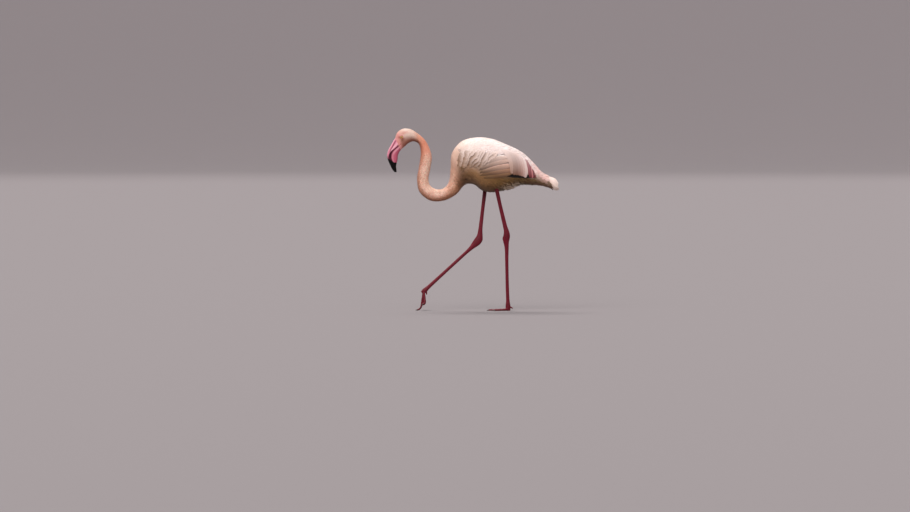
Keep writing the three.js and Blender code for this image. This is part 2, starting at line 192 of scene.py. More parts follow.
# The sections, in millimetres: upper outline X and Z, lower outline X and Z, half width, and the share by
# which the section is wider below than above.
BODY_SECTIONS = {
    "bill root": (-321, 705, -297.5, 657, 15),
    "brow": (-312, 731, -280, 672, 21),
    "crown": (-285, 748, -264, 686, 25),
    "hind crown": (-254, 745, -247, 693, 23),
    "nape": (-228, 729, -232, 690, 18),
    "neck hook": (-199, 704, -221, 679, 16),
    "upper neck": (-179, 670, -216, 658, 18),
    "neck swell": (-169, 634, -216, 632, 21),
    "mid neck": (-174, 585, -223, 585, 21),
    "lower neck": (-182, 542, -230, 536, 21),
    "bend front": (-176, 515, -220, 487, 21),
    "bend low": (-150, 499, -175, 451, 22),
    "bend rear": (-121, 503, -119, 451, 24),
    "neck root": (-99, 531, -68, 477, 30),
    "breast": (-93, 585, -38, 510, 44, 0.05),
    "wishbone": (-88, 645, -14, 519, 60, 0.08),
    "shoulder": (-53, 692, 8, 514, 71, 0.1),
    "back": (4, 711, 39, 492, 79, 0.1),
    "saddle": (70, 708, 82, 485, 82, 0.08),
    "loin": (135, 684, 133, 496, 76, 0.04),
    "rump": (197, 654, 184, 515, 60),
    "vent": (246, 610, 242, 516, 43),
    "tail root": (287, 565, 289, 511, 34),
    "tail middle": (316, 551, 316, 503, 34),
    "tail end": (340, 540, 340, 491, 32),
    "tail tip": (351, 524, 351.9, 495, 25),
}
COAT_DEPTH = {  # how far the skin lies below the tips of the plumage, in millimetres
    "bill root": 1.2,
    "crown": 2,
    "nape": 3,
    "neck swell": 4.5,
    "neck root": 5,
    "breast": 8,
    "back": 9,
    "rump": 9,
    "tail root": 6,
    "tail tip": 5,
}
# A folded wing lies between an upper and a lower edge, in degrees round the trunk from the back's middle.
WING_PLAN = [
    ("wishbone", 0.2, 54, 62),
    ("wishbone", 0.6, 36, 84),
    ("shoulder", 0.3, 26, 97),
    ("back", 0, 23, 105),
    ("saddle", 0, 20, 110),
    ("loin", 0, 20, 116),
    ("rump", 0, 25, 126),
    ("rump", 0.6, 38, 125),
    ("vent", 0, 60, 116),
    ("vent", 0.4, 86, 104),
]
WING_BULGE = 8.5 * MM


class Loft:
    """A smooth form through cross-sections, by distance along their middles and angle round from the back."""

    def __init__(self, sections, side=None):
        self.names = list(sections)
        rows = np.zeros((len(sections), 7))
        for row, section in zip(rows, sections.values()):
            row[:4], row[4] = section[:4], section[4]
            row[5:] = (section[5], 0) if side else (0, section[5] if len(section) > 5 else 0)
        rows[:, :6] *= MM
        middles = np.stack([rows[:, 0] + rows[:, 2], 2 * rows[:, 5], rows[:, 1] + rows[:, 3]], -1) / 2
        self.knots = np.concatenate([[0], np.cumsum(np.linalg.norm(np.diff(middles, axis=0), axis=1))])
        slopes = np.diff(rows, axis=0) / np.diff(self.knots)[:, None]
        self.rows, self.length = rows, self.knots[-1]
        self.slopes = np.vstack([slopes[:1], (slopes[1:] + slopes[:-1]) / 2, slopes[-1:]])

    def place(self, name, share=0.0):
        """How far along a named section lies, or a share of the way from it to the next one."""
        i = self.names.index(name)
        return self.knots[i] + (share * (self.knots[i + 1] - self.knots[i]) if share else 0)

    def by_place(self, values, t):
        """Numbers or colours that are given at named sections, at each distance t."""
        table = np.array(list(values.values()), float).reshape(len(values), -1)
        knots = [self.place(name) for name in values]
        found = np.stack([np.interp(t, knots, column) for column in table.T], -1)
        return found[..., 0] if found.shape[-1] == 1 else found

    def sections_at(self, t):
        """The section's numbers at each distance t, on cubic curves, going straight on beyond either end."""
        inside = np.clip(t, 0, self.length)
        i = np.clip(np.searchsorted(self.knots, inside, side="right") - 1, 0, len(self.knots) - 2)
        span = (self.knots[i + 1] - self.knots[i])[..., None]
        u = (inside - self.knots[i])[..., None] / span
        ends = (1 + 2 * u) * (1 - u) ** 2 * self.rows[i] + u * u * (3 - 2 * u) * self.rows[i + 1]
        tangents = u * (1 - u) ** 2 * self.slopes[i] - u * u * (1 - u) * self.slopes[i + 1]
        beyond = (t - inside)[..., None] * np.where(t[..., None] < 0, self.slopes[0], self.slopes[-1])
        return ends + span * tangents + beyond

    def point(self, t, angle, grow=0.0):
        """Points of the surface, moved outwards by a distance."""
        t, angle = np.broadcast_arrays(np.asarray(t, float), np.asarray(angle, float))
        dx, dz, vx, vz, half, side, pear = np.moveaxis(self.sections_at(t), -1, 0)
        depth = np.hypot(dx - vx, dz - vz) / 2
        reach = np.cos(angle) * (depth + grow) / depth
        y = side + (half + grow) * np.sin(angle) * (1 - pear * np.cos(angle))
        return np.stack([(dx + vx + (dx - vx) * reach) / 2, y, (dz + vz + (dz - vz) * reach) / 2], -1)


BODY = Loft(BODY_SECTIONS)
wing_places = np.array([BODY.place(name, share) for name, share, _, _ in WING_PLAN])
wing_edges = np.radians([row[2:] for row in WING_PLAN])


def on_body(t, angle, height=0.0):
    """Points over the skin of head, neck, trunk and tail, which swells where the folded wings lie."""
    t, angle = np.broadcast_arrays(np.asarray(t, float), np.asarray(angle, float))
    turned = np.abs((angle + math.pi) % (2 * math.pi) - math.pi)
    upper, lower = (np.interp(t, wing_places, edge) for edge in wing_edges.T)
    across = np.clip((turned - upper) / (lower - upper), 0, 1)
    along = np.clip((t - wing_places[0]) / (wing_places[-1] - wing_places[0]), 0, 1)
    bulge = np.abs(np.sin(math.pi * across) * np.sin(math.pi * along ** 0.8)) ** 0.6
    coat = BODY.by_place(COAT_DEPTH, t) * MM
    return BODY.point(t, angle, WING_BULGE * bulge - coat + height)


# Colours of the plumage along the body: over the back, and beneath, where they are mostly painted shade with
# a little warm staining.
ABOVE = {
    "bill root": "#efb3a4",
    "brow": "#f6cabb",
    "crown": "#fdf1ea",
    "hind crown": "#fce7dc",
    "nape": "#edb49c",
    "neck hook": "#e2977b",
    "upper neck": "#eeac95",
    "neck swell": "#f8cbb8",
    "mid neck": "#f8d5c4",
    "lower neck": "#f6cfbc",
    "bend low": "#fbd5c5",
    "neck root": "#f0c3ad",
    "breast": "#e3bba4",
    "wishbone": "#efd4c5",
    "shoulder": "#f9f0ed",
    "back": "#faf4f5",
    "rump": "#fdf6fa",
    "vent": "#f4d4d3",
    "tail root": "#e2c8c6",
    "tail end": "#f6ebe5",
}
# painted shade, with a little warm staining, from the cheeks down the neck's underside to the belly
SHADED_BENEATH = {
    "bill root": "#c98a80",
    "crown": "#bd7c64",
    "nape": "#93503a",
    "upper neck": "#c57c62",
    "mid neck": "#cf9780",
    "bend low": "#ad775b",
    "neck root": "#cb9573",
    "breast": "#7f5d3a",
    "shoulder": "#9d7a52",
    "saddle": "#856538",
    "rump": "#7a6135",
    "tail root": "#6b5738",
    "tail end": "#6b5539",
}
TURN_BENEATH = {  # how low down the side the colour turns, as a share of the way from back to belly
    "bill root": 0.6,
    "nape": 0.72,
    "mid neck": 0.8,
    "neck root": 0.56,
    "shoulder": 0.45,
    "saddle": 0.48,
    "rump": 0.56,
    "tail root": 0.58,
    "tail end": 0.62,
}
BROW_PINK = linear("#e5958c")
ABOVE, SHADED_BENEATH = ({name: linear(hexes) for name, hexes in row.items()} for row in (ABOVE, SHADED_BENEATH))


def smoothly(value, low, high):
    """0 below low, 1 above high, and smooth between them."""
    share = np.clip((value - low) / (high - low), 0, 1)
    return share * share * (3 - 2 * share)


def hump(value, middle, width):
    """1 where the value is in the middle, falling softly to 0 on both sides."""
    return np.exp(-(((value - middle) / width) ** 2))


def mixed(first, second, share):
    """Colours that go from the first to the second by a share each."""
    return first + (second - first) * np.asarray(share)[..., None]


# Painted shade, brown in the hollow under the eye and red in the fold before it: middle X and Z and reach
# along and up, in millimetres, and the share of red, green and blue that each takes away.
PAINTED_FACE_SHADE = [
    (-292, 702, 7.5, 11, (0.56, 0.7, 0.8)),
    (-302.5, 711, 4.2, 7, (0.42, 0.62, 0.66)),
]
# the share of each colour taken by painted shade in the fold where the neck's coat meets the wing, and under
# the belly
BREAST_FOLD_SHADE = (0.6, 0.66, 0.78)
BELLY_SHADE = (0.5, 0.55, 0.68)
FOLD_SHADE_PLACE = (-56, 11)  # the fold's middle X and its reach, in millimetres


def face_shade(points):
    """The share of each colour that the painted shade of the face leaves."""
    x, _, z = np.moveaxis(points, -1, 0) / MM
    left = 1.0
    for mark_x, mark_z, reach_x, reach_z, taken in PAINTED_FACE_SHADE:
        mark = np.exp(-(((x - mark_x) / reach_x) ** 2) - ((z - mark_z) / reach_z) ** 2)
        left = left * (1 - mark[..., None] * taken)
    return left


def plumage_colour(t, angle):
    """The markings, with painted shade beneath, in the face, in the breast's fold and under the belly, shared
    by the skin and the coat.
    """
    down = (1 - np.cos(angle)) / 2
    turn = BODY.by_place(TURN_BENEATH, t)
    shade = mixed(BODY.by_place(ABOVE, t), BODY.by_place(SHADED_BENEATH, t), smoothly(down, turn - 0.3, turn + 0.28))
    along = (t - BODY.place("crown", -0.3)) / 0.017
    shade = mixed(shade, BROW_PINK, 0.6 * np.exp(-(along**2) - ((down - 0.27) / 0.1) ** 2))
    points = on_body(t, angle)
    shade = shade * face_shade(points)
    x, _, z = np.moveaxis(points, -1, 0) / MM
    # painted shade in the fold between the breast and the wing's front edge
    fold = hump(x, *FOLD_SHADE_PLACE) * smoothly(z, 550, 575) * (1 - smoothly(z, 612, 640))
    trunk = smoothly(t, BODY.place("breast"), BODY.place("shoulder"))
    trunk = trunk * (1 - smoothly(t, BODY.place("rump"), BODY.place("vent")))
    shade = shade * (1 - fold[..., None] * BREAST_FOLD_SHADE)
    return shade * (1 - (trunk * smoothly(down, 0.78, 0.98))[..., None] * BELLY_SHADE)


EYE_X, EYE_Y, EYE_Z = -0.293, 0.0165, 0.712
EYE_RADIUS = 0.006
LID_EDGE = 0.0047  # from the eye's axis to the edge of the lids
LID_OUTSIDE = 0.0068
LID_RISE = 0.0007  # how far the lids' edge stands over the eyeball
SOCKET_DEPTH = 0.0045
BROW_RISE = 0.0009
LORE_COLOUR = linear("#e3a4a0")
LID_COLOUR = linear("#b5584e")
GAPE_COLOUR = linear("#a8554f")


def lore_share(points):
    """1 on the bare skin between the bill and the eye, and 0 where the head is feathered."""
    front_of = -0.3035 + 0.35 * (0.706 - points[..., 2]) * (points[..., 2] < 0.706)
    bare = 1 - smoothly(points[..., 0] - front_of, -0.0035, 0.0035)
    round_eye = np.hypot(points[..., 0] - EYE_X, points[..., 2] - EYE_Z)
    on_cheek = np.maximum(smoothly(np.abs(points[..., 1]), 0.005, 0.012), points[..., 2] < 0.7)
    return np.maximum(bare * on_cheek, 1 - smoothly(round_eye, 0.0066, 0.0086))


def with_eyelids(points):
    """The head's skin, hollowed into a socket round each eye, with the lids' rim over the eyeball."""
    points = points.copy()
    away = np.stack([points[..., 0] - EYE_X, points[..., 2] - EYE_Z], -1)
    radius = np.linalg.norm(away, axis=-1)
    near = (radius < 2 * LID_OUTSIDE) & (np.abs(points[..., 1]) > 0.008)
    on_rim = near & (np.abs(radius - LID_EDGE) < 0.00055)
    away[on_rim] *= (LID_EDGE / radius[on_rim])[..., None]
    points[..., 0] = np.where(on_rim, away[..., 0] + EYE_X, points[..., 0])
    points[..., 2] = np.where(on_rim, away[..., 1] + EYE_Z, points[..., 2])
    radius = np.where(on_rim, LID_EDGE, radius)
    ball = EYE_Y + np.sqrt(np.maximum(EYE_RADIUS**2 - radius**2, 0))
    rim = EYE_Y + math.sqrt(EYE_RADIUS**2 - LID_EDGE**2) + LID_RISE
    inside = near & (radius < LID_EDGE - 1e-6)
    lid = rim + (0.45 * MM) * np.sin(math.pi * np.clip((radius - LID_EDGE) / (LID_OUTSIDE - LID_EDGE), 0, 1))
    out = np.abs(points[..., 1])
    fold = 0.5 * MM * hump(radius, LID_OUTSIDE, 0.6 * MM)
    brow = BROW_RISE * hump(radius, 0.0092, 0.0022) * smoothly(away[..., 1], 0.0, 0.006)
    blended = lid + (out - lid) * smoothly(radius, LID_OUTSIDE - 0.0008, LID_OUTSIDE + 0.0022) - fold + brow
    out = np.where(near, np.where(inside, ball - SOCKET_DEPTH, blended), out)
    points[..., 1] = np.sign(points[..., 1]) * out
    return points


SKIN_COLUMNS = 144
SKIN_TONE = 0.92  # the skin is a little darker than the coat over it
END_PULL = 0.9  # how far the last ring at each end closes on its middle
TAIL_TAPER = 7  # how far the skin draws in under the tail feathers, in millimetres
skin_places = np.concatenate(
    [
        np.arange(-0.004, 0.024, 0.0012),
        np.arange(0.024, 0.044, 0.0007),
        np.arange(0.044, 0.11, 0.0015),
        np.arange(0.11, 0.5, 0.0035),
        np.arange(0.5, BODY.length - 0.02, 0.005),
    ]
)
skin_angles = np.linspace(0, 2 * math.pi, SKIN_COLUMNS, endpoint=False)
place_grid, angle_grid = np.meshgrid(skin_places, skin_angles, indexing="ij")
taper = TAIL_TAPER * smoothly(place_grid, BODY.place("tail root"), BODY.length - 0.02)
skin_points = with_eyelids(on_body(place_grid, angle_grid, -taper * MM))
for end in (0, -1):
    skin_points[end] += (skin_points[end].mean(axis=0) - skin_points[end]) * END_PULL
skin_colours = plumage_colour(place_grid, angle_grid) * SKIN_TONE
lores = lore_share(skin_points)
eye_away = np.hypot(skin_points[..., 0] - EYE_X, skin_points[..., 2] - EYE_Z)
skin_colours = mixed(skin_colours, LORE_COLOUR * face_shade(skin_points), lores)
lid_share = (1 - smoothly(eye_away, 0.0058, 0.0072)) * (np.abs(skin_points[..., 1]) > 0.012)
skin_colours = mixed(skin_colours, LID_COLOUR, lid_share)
# a red line runs back and up from the corner of the mouth
from_gape = np.abs((skin_points[..., 0] + 0.295) * 0.73 + (skin_points[..., 2] - 0.685) * -0.68)
gape = (1 - smoothly(from_gape, 0.0006, 0.0018)) * (skin_points[..., 0] < -0.2945)
skin_colours = mixed(skin_colours, GAPE_COLOUR, gape * (skin_points[..., 2] < 0.687) * 0.8)


# ---------- legs and feet ----------
# Bare legs of hard, scaled skin: broad plates across the front and back of the shank and tarsus, small round
# scales on their sides and over the toes and webs. The feet are the solids' own, softened.

LEFT_LEG = Loft(
    {
        "hip": (82, 519, 98, 523, 8, -36),
        "belly": (89.5, 490, 105.5, 494, 7.2, -34),
        "shank": (103, 432, 118, 436, 6, -30.5),
        "lower shank": (114.5, 381, 130.5, 385, 5.8, -27),
        "above ankle": (122.5, 345, 140.5, 347, 6.6, -24.5),
        "ankle back": (126, 324, 148.5, 325, 8.5, -23.2),
        "ankle": (124, 309, 151.5, 310, 9.4, -22.2),
        "ankle front": (120.5, 297, 150.5, 296, 9, -21.2),
        "below ankle": (123.5, 283, 147.5, 283, 7.4, -20.2),
        "upper tarsus": (128.5, 262, 146.5, 262, 5.8, -18.8),
        "tarsus": (131, 205, 145.5, 205, 5, -15.2),
        "lower tarsus": (133.5, 90, 148, 90, 5, -8),
        "above toes": (135, 34, 151, 34, 6, -4.5),
        "toe joint": (133.5, 17, 153.5, 17, 7.4, -4),
    },
    side=True,
)
TARSUS_TOP = (-18.5, 247)  # the middle of the right tarsus just below its ankle, in millimetres
TARSUS_DROP = math.radians(42.5)
TARSUS_REACH = 249.4


def on_tarsus(along, out):
    """X and Z of a point so far down the right tarsus and so far out in front of its middle."""
    c, s = math.cos(TARSUS_DROP), math.sin(TARSUS_DROP)
    return TARSUS_TOP[0] - c * along - s * out, TARSUS_TOP[1] - s * along + c * out


def tarsus_section(along, depth, half, side):
    """A section square across the right tarsus, in the form of the other sections."""
    return (*on_tarsus(along, depth / 2), *on_tarsus(along, -depth / 2), half, side)


RIGHT_LEG = Loft(
    {
        "hip": (42.5, 519, 59, 517, 8, 36),
        "belly": (39.5, 484, 56, 483, 7, 34),
        "shank": (32.5, 419, 47.5, 418, 6, 30),
        "lower shank": (26, 366, 42, 365, 5.8, 27),
        "above ankle": (20.5, 328, 39, 330, 6.8, 25.5),
        "ankle back": (15.5, 308, 40, 305, 8.6, 25),
        "ankle": (6, 294, 39, 287, 9.4, 24.5),
        "ankle front": (-4.5, 278, 27, 270, 9, 24),
        "below ankle": (-12.5, 265, 2.5, 253.5, 7.4, 23.5),
        "upper tarsus": tarsus_section(6, 14.5, 5.8, 23),
        "tarsus": tarsus_section(60, 13.5, 5, 21.5),
        "lower tarsus": tarsus_section(170, 14, 5, 18),
        "above toes": tarsus_section(TARSUS_REACH - 20, 16, 6, 15.8),
        "toe joint": tarsus_section(TARSUS_REACH, 19, 7.4, 15),
    },
    side=True,
)
LEG_STEP = 0.002
LEG_COLUMNS = 28
SKIN_VOXEL = 0.0007
SKIN_SMOOTHING = 4
FOOT_SWELL = 0.35  # makes good what smoothing takes off the toes and webs, in millimetres
LEG_FACES_KEPT = 0.25
LEG_SINK = 0.2  # how far the leg's skin starts inside the solids, in millimetres
AT_ONCE = 4000  # points placed along the leg at a time, to spare memory
LEG_COLOUR = linear("#7c0a28")
ANKLE_COLOUR = linear("#700822")
LEG_TOP_COLOUR = linear("#6b0b22")
KNOB_REACH = 0.022  # how far the ankle's darker skin spreads up and down


def closed_rings(points):
    """Faces of a grid of rings, and the polygon over each end."""
    rows, columns = points.shape[:2]
    first = np.arange(columns)
    return [grid_faces(rows, columns, True), first[None, :], (first[::-1] + (rows - 1) * columns)[None, :]]


def modified(mesh, *modifiers):
    """The mesh with modifiers applied, each a type and its settings."""
    piece = bpy.data.objects.new("work", mesh)
    bpy.context.scene.collection.objects.link(piece)
    for kind, settings in modifiers:
        modifier = piece.modifiers.new(kind, kind)
        for key, value in settings.items():
            setattr(modifier, key, value)
    bpy.context.view_layer.update()
    result = bpy.data.meshes.new_from_object(piece.evaluated_get(bpy.context.evaluated_depsgraph_get()))
    bpy.data.objects.remove(piece)
    return result


def read(rows, key, width=3, kind=np.float32):
    """One property of a mesh's vertices, edges, corners or triangles, as an array with a row for each."""
    values = np.empty(len(rows) * width, dtype=kind)
    rows.foreach_get(key, values)
    return values.reshape(-1, width)


def points_and_faces(mesh):
    """A mesh's points, and its faces as one array of triangles."""
    mesh.calc_loop_triangles()
    return read(mesh.vertices, "co").astype(float), read(mesh.loop_triangles, "vertices", 3, np.int32)


def leg_skin(loft, foot):
    """One leg's points and triangles, its loft fused with the foot's webs and toes. For each point, how far
    down the leg it is, its place and turn on the scales, and 1 on the foot."""
    places = np.arange(0, loft.length, LEG_STEP)
    turns = np.linspace(0, 2 * math.pi, LEG_COLUMNS, endpoint=False)
    grid = loft.point(places[:, None], turns, -LEG_SINK * MM)
    solid_foot = bpy.data.objects[foot].data
    foot_points, foot_faces = points_and_faces(solid_foot)
    foot_points = foot_points + read(solid_foot.vertex_normals, "vector") * FOOT_SWELL * MM
    joined = make_mesh(
        "leg",
        np.vstack([grid.reshape(-1, 3), foot_points]),
        [*closed_rings(grid), foot_faces + grid.shape[0] * grid.shape[1]],
    )
    smooth = modified(
        joined,
        ("REMESH", {"mode": "VOXEL", "voxel_size": SKIN_VOXEL, "adaptivity": 0.0}),
        ("SMOOTH", {"factor": 0.5, "iterations": SKIN_SMOOTHING}),
        ("DECIMATE", {"ratio": LEG_FACES_KEPT}),
    )
    points, faces = points_and_faces(smooth)
    points[:, 2] = np.maximum(points[:, 2], 0)
    sections = loft.sections_at(places)
    centres = loft.point(places, math.pi / 2) * [1, 0, 1] + sections[:, 5:6] * [0, 1, 0]
    nearest = np.empty(len(points), dtype=int)
    for start in range(0, len(points), AT_ONCE):
        gap = points[start : start + AT_ONCE, None] - centres[None]
        nearest[start : start + AT_ONCE] = (gap**2).sum(-1).argmin(1)
    front = sections[nearest, 0:2] - sections[nearest, 2:4]
    front /= np.linalg.norm(front, axis=1)[:, None]
    down_leg = np.stack([-front[:, 1], front[:, 0]], -1)
    out = points - centres[nearest]
    turned = np.arctan2(out[:, 1], (out[:, [0, 2]] * front).sum(1))
    along = places[nearest]
    place = along - (out[:, [0, 2]] * down_leg).sum(1)
    on_foot = smoothly(along, loft.place("above toes") - 0.004, loft.place("above toes") + 0.008)
    return points, faces, along, place, turned, on_foot


skin_count = skin_points.shape[0] * SKIN_COLUMNS
face_sets = closed_rings(skin_points)
trunk_faces = sum(len(faces) for faces in face_sets)
all_points, all_colours = [skin_points.reshape(-1, 3)], [skin_colours.reshape(-1, 3)]
scale_place, scale_turn, scale_foot = ([np.zeros(skin_count)] for _ in range(3))
for loft, foot in ((LEFT_LEG, "foot_left"), (RIGHT_LEG, "foot_right")):
    points, faces, along, place, turned, on_foot = leg_skin(loft, foot)
    face_sets.append(faces + sum(len(earlier) for earlier in all_points))
    all_points.append(points)
    scale_place.append(place)
    scale_turn.append(turned)
    scale_foot.append(on_foot)
    colour = mixed(LEG_COLOUR, ANKLE_COLOUR, hump(along, loft.place("ankle"), KNOB_REACH) * 0.8)
    all_colours.append(mixed(colour, LEG_TOP_COLOUR, 1 - smoothly(along, 0.03, 0.12)))
skin_mesh = make_mesh("skin", np.vstack(all_points), face_sets)


def add_attribute(mesh, name, values):
    """A number, or a linear colour, for each vertex."""
    values = np.asarray(values, dtype=np.float32)
    if values.ndim == 1:
        mesh.attributes.new(name, "FLOAT", "POINT").data.foreach_set("value", values)
    else:
        rgba = np.concatenate([values, np.ones((len(values), 1), dtype=np.float32)], axis=1)
        mesh.attributes.new(name, "FLOAT_COLOR", "POINT").data.foreach_set("color", rgba.ravel())


add_attribute(skin_mesh, "Plumage", np.clip(np.vstack(all_colours), 0, 1))
for name, values in (("ScalePlace", scale_place), ("ScaleTurn", scale_turn), ("OnFoot", scale_foot)):
    add_attribute(skin_mesh, name, np.concatenate(values))
on_leg = np.arange(len(skin_mesh.polygons)) >= trunk_faces
skin_mesh.polygons.foreach_set("material_index", on_leg.astype(np.int32))

# Living skin with a bloom of down: soft, matt, pinker where it is bare, with fine pores and wrinkles.
PORE = 0.0009
BLUSH = 0.0111  # the width of the patches in which it reddens
MULTIPLY = {"data_type": "RGBA", "blend_type": "MULTIPLY"}
bird_skin, skin_shader = new_material(
    "downy_skin", Roughness=0.75, IOR=1.4, Sheen_Weight=0.25, Sheen_Roughness=0.5
)


def stained(material, patch, detail, stain, tint=None):
    """The place on the surface, noise over it in patches of a size in metres, and the markings, made uneven
    by a stain that follows the noise."""
    place = add_node(material, "TexCoord", output="Object")
    noise = add_node(material, "TexNoise", {"Scale": 1 / patch, "Detail": detail, "Vector": place})
    tint = tint or add_node(material, "Attribute", {"attribute_name": "Plumage"})
    return place, noise, add_node(material, "Mix", {**MULTIPLY, 0: noise, 6: tint, 7: linear(stain)}, 2)


skin_place, _, warmth = stained(bird_skin, BLUSH, 3.0, "#f0cfc8")
pores = add_node(bird_skin, "TexVoronoi", {"Scale": 1 / PORE, "Vector": skin_place})
skin_bump = add_node(bird_skin, "Bump", {"Strength": 0.35, "Distance": 0.0003, "Height": pores})
set_inputs(skin_shader, {"Base Color": warmth, "Normal": skin_bump})

# Horny leg skin: hard crimson scales with a dull wax gloss and darker seams between them.
PLATE = 0.0065  # from one plate of the front to the next
SIDE_SCALE = 0.0036
TOE_SCALE = 0.0028
LEG_WEAR = 0.0182  # the width of its worn patches
leg_horn, leg_shader = new_material("scaled_leg_skin", Roughness=0.5, IOR=1.5, Specular_IOR_Level=0.3)
leg_surface, wear, worn = stained(leg_horn, LEG_WEAR, 4.0, "#c9b0b4")
along_leg, round_leg, on_toes = (
    add_node(leg_horn, "Attribute", {"attribute_name": name}, "Fac")
    for name in ("ScalePlace", "ScaleTurn", "OnFoot")
)


def seams(distance, width):
    """1 in the seam between two scales and 0 on them."""
    near = add_node(leg_horn, "Math", {"operation": "DIVIDE", "use_clamp": True, 0: distance, 1: width})
    return add_node(leg_horn, "Math", {"operation": "SUBTRACT", 0: 1.0, 1: near})


plates = add_node(leg_horn, "Math", {"operation": "DIVIDE", 0: along_leg, 1: PLATE})
plate_seams = seams(add_node(leg_horn, "Math", {"operation": "PINGPONG", 0: plates, 1: 0.5}), 0.09)
EDGES = {"feature": "DISTANCE_TO_EDGE", "Vector": leg_surface}
side_seams, toe_seams = (
    seams(add_node(leg_horn, "TexVoronoi", {**EDGES, "Scale": 1 / scale}), width)
    for scale, width in ((SIDE_SCALE, 0.1), (TOE_SCALE, 0.12))
)
# plates cover the front and the back, where the turn from the front has a large cosine
ahead_share = add_node(leg_horn, "Math", {"operation": "COSINE", 0: round_leg})
ahead_share = add_node(leg_horn, "Math", {"operation": "ABSOLUTE", 0: ahead_share})
ahead_share = add_node(leg_horn, "Math", {"operation": "SUBTRACT", 0: ahead_share, 1: 0.45})
plated = add_node(leg_horn, "Math", {"operation": "MULTIPLY", "use_clamp": True, 0: ahead_share, 1: 6.0})
leg_seams = add_node(leg_horn, "Mix", {0: plated, 2: side_seams, 3: plate_seams})
all_seams = add_node(leg_horn, "Mix", {0: on_toes, 2: leg_seams, 3: toe_seams})
seamed = add_node(leg_horn, "Mix", {**MULTIPLY, 0: all_seams, 6: worn, 7: linear("#8f5a62")}, 2)
leg_gloss = add_node(leg_horn, "MapRange", {"Value": wear, "To Min": 0.4, "To Max": 0.62})
leg_height = add_node(leg_horn, "Math", {"operation": "SUBTRACT", 0: 1.0, 1: all_seams})
leg_bump = add_node(leg_horn, "Bump", {"Strength": 0.7, "Distance": 0.0004, "Height": leg_height})
set_inputs(leg_shader, {"Base Color": seamed, "Roughness": leg_gloss, "Normal": leg_bump})

skin = add_object("skin", skin_mesh, bird_skin, leg_horn)
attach(skin, "root")
FLESH = ["head", "neck_upper", "neck_middle", "neck_bend", "neck_root", "trunk", "tail"]
LIMBS = ["wing", "shank", "ankle", "tarsus", "foot"]
SIDES = ("left", "right")
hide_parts(*FLESH, *(f"{part}_{side}" for part in LIMBS for side in SIDES))


# ---------- bill ----------
# Two horny halves over bone, bent down at their middle. The upper one is a thin lid with a ridge and a groove
# that holds the nostrils, the lower one a deep trough. Waxy pink skin turns to hard black horn past the bend.

BILL = Loft(
    {
        "bill root": (-321, 705, -297.5, 657, 14.5),
        "nostril": (-334, 682, -304, 647, 14.5),
        "keel": (-347, 658, -308, 633, 14.5),
        "bend": (-352, 636, -309, 619, 14),
        "black edge": (-348, 616, -312, 607, 12.5),
        "hook": (-340, 597, -315, 592, 10.5),
        "nail": (-331, 579, -313.5, 577, 8),
        "tip": (-322, 568, -313, 568, 5),
    }
)
# the line between the two halves, and where the black horn starts, X and Z in millimetres
MOUTH_LINE = [
    (-295, 685), (-312, 669), (-331, 653), (-337, 642), (-338, 627), (-332, 612), (-325, 594), (-318, 576)
]
BLACK_FROM = [(-360, 629), (-350, 624), (-340, 620), (-332, 615), (-324, 609), (-309, 606)]
BILL_STEP = 0.0011
BILL_ARC = 40
BILL_FLOOR = 5  # columns across the hidden inner face of each half
LIP_GAP = 0.12 * MM
RIDGE = 0.7 * MM
TIP_PULL = 0.75  # how far the last ring closes on its middle
GROOVE_TURN = 0.82  # where the nasal groove runs, round from the ridge
NOSTRIL_PLACE = 0.0205  # from the bill's root to the middle of the nostril
BILL_PINK = linear("#e596ab")
BILL_PALE_AND_HIGHLIGHT_PINK = linear("#f9ccd6")
LOWER_BILL_PINK = linear("#c8677f")
BILL_KEEL_PINK = linear("#9c4560")
BILL_DARK = linear("#5d1f34")
BILL_BLACK = linear("#060505")
PLACES_TRIED = 1500


def beside(loft, x, z, first=0.0, last=None):
    """How far along a loft and round its right side points lie that are seen from the side, in metres."""
    t = np.linspace(first, loft.length if last is None else last, PLACES_TRIED)
    dx, dz, vx, vz = loft.sections_at(t)[:, :4].T
    depth2 = ((dx - vx) ** 2 + (dz - vz) ** 2) / 4
    found = []
    for at_x, at_z in np.stack(np.broadcast_arrays(x, z), -1).reshape(-1, 2):
        out = (at_x - (dx + vx) / 2, at_z - (dz + vz) / 2)
        off = np.abs(out[0] * (dz - vz) - out[1] * (dx - vx)) / 2 / np.sqrt(depth2)
        reach = (out[0] * (dx - vx) + out[1] * (dz - vz)) / 2 / depth2
        best = (off + np.maximum(np.abs(reach) - 1, 0) * 0.1).argmin()
        found.append((t[best], math.acos(max(-1, min(1, reach[best])))))
    return np.array(found).reshape(*np.shape(x), 2) if np.ndim(x) else np.array(found[0])


mouth = np.array([beside(BILL, x * MM, z * MM, -0.02, BILL.length + 0.01) for x, z in MOUTH_LINE])
bill_places = np.append(np.arange(-0.003, BILL.length, BILL_STEP), BILL.length)
lip_angle = np.interp(bill_places, mouth[:, 0], mouth[:, 1])


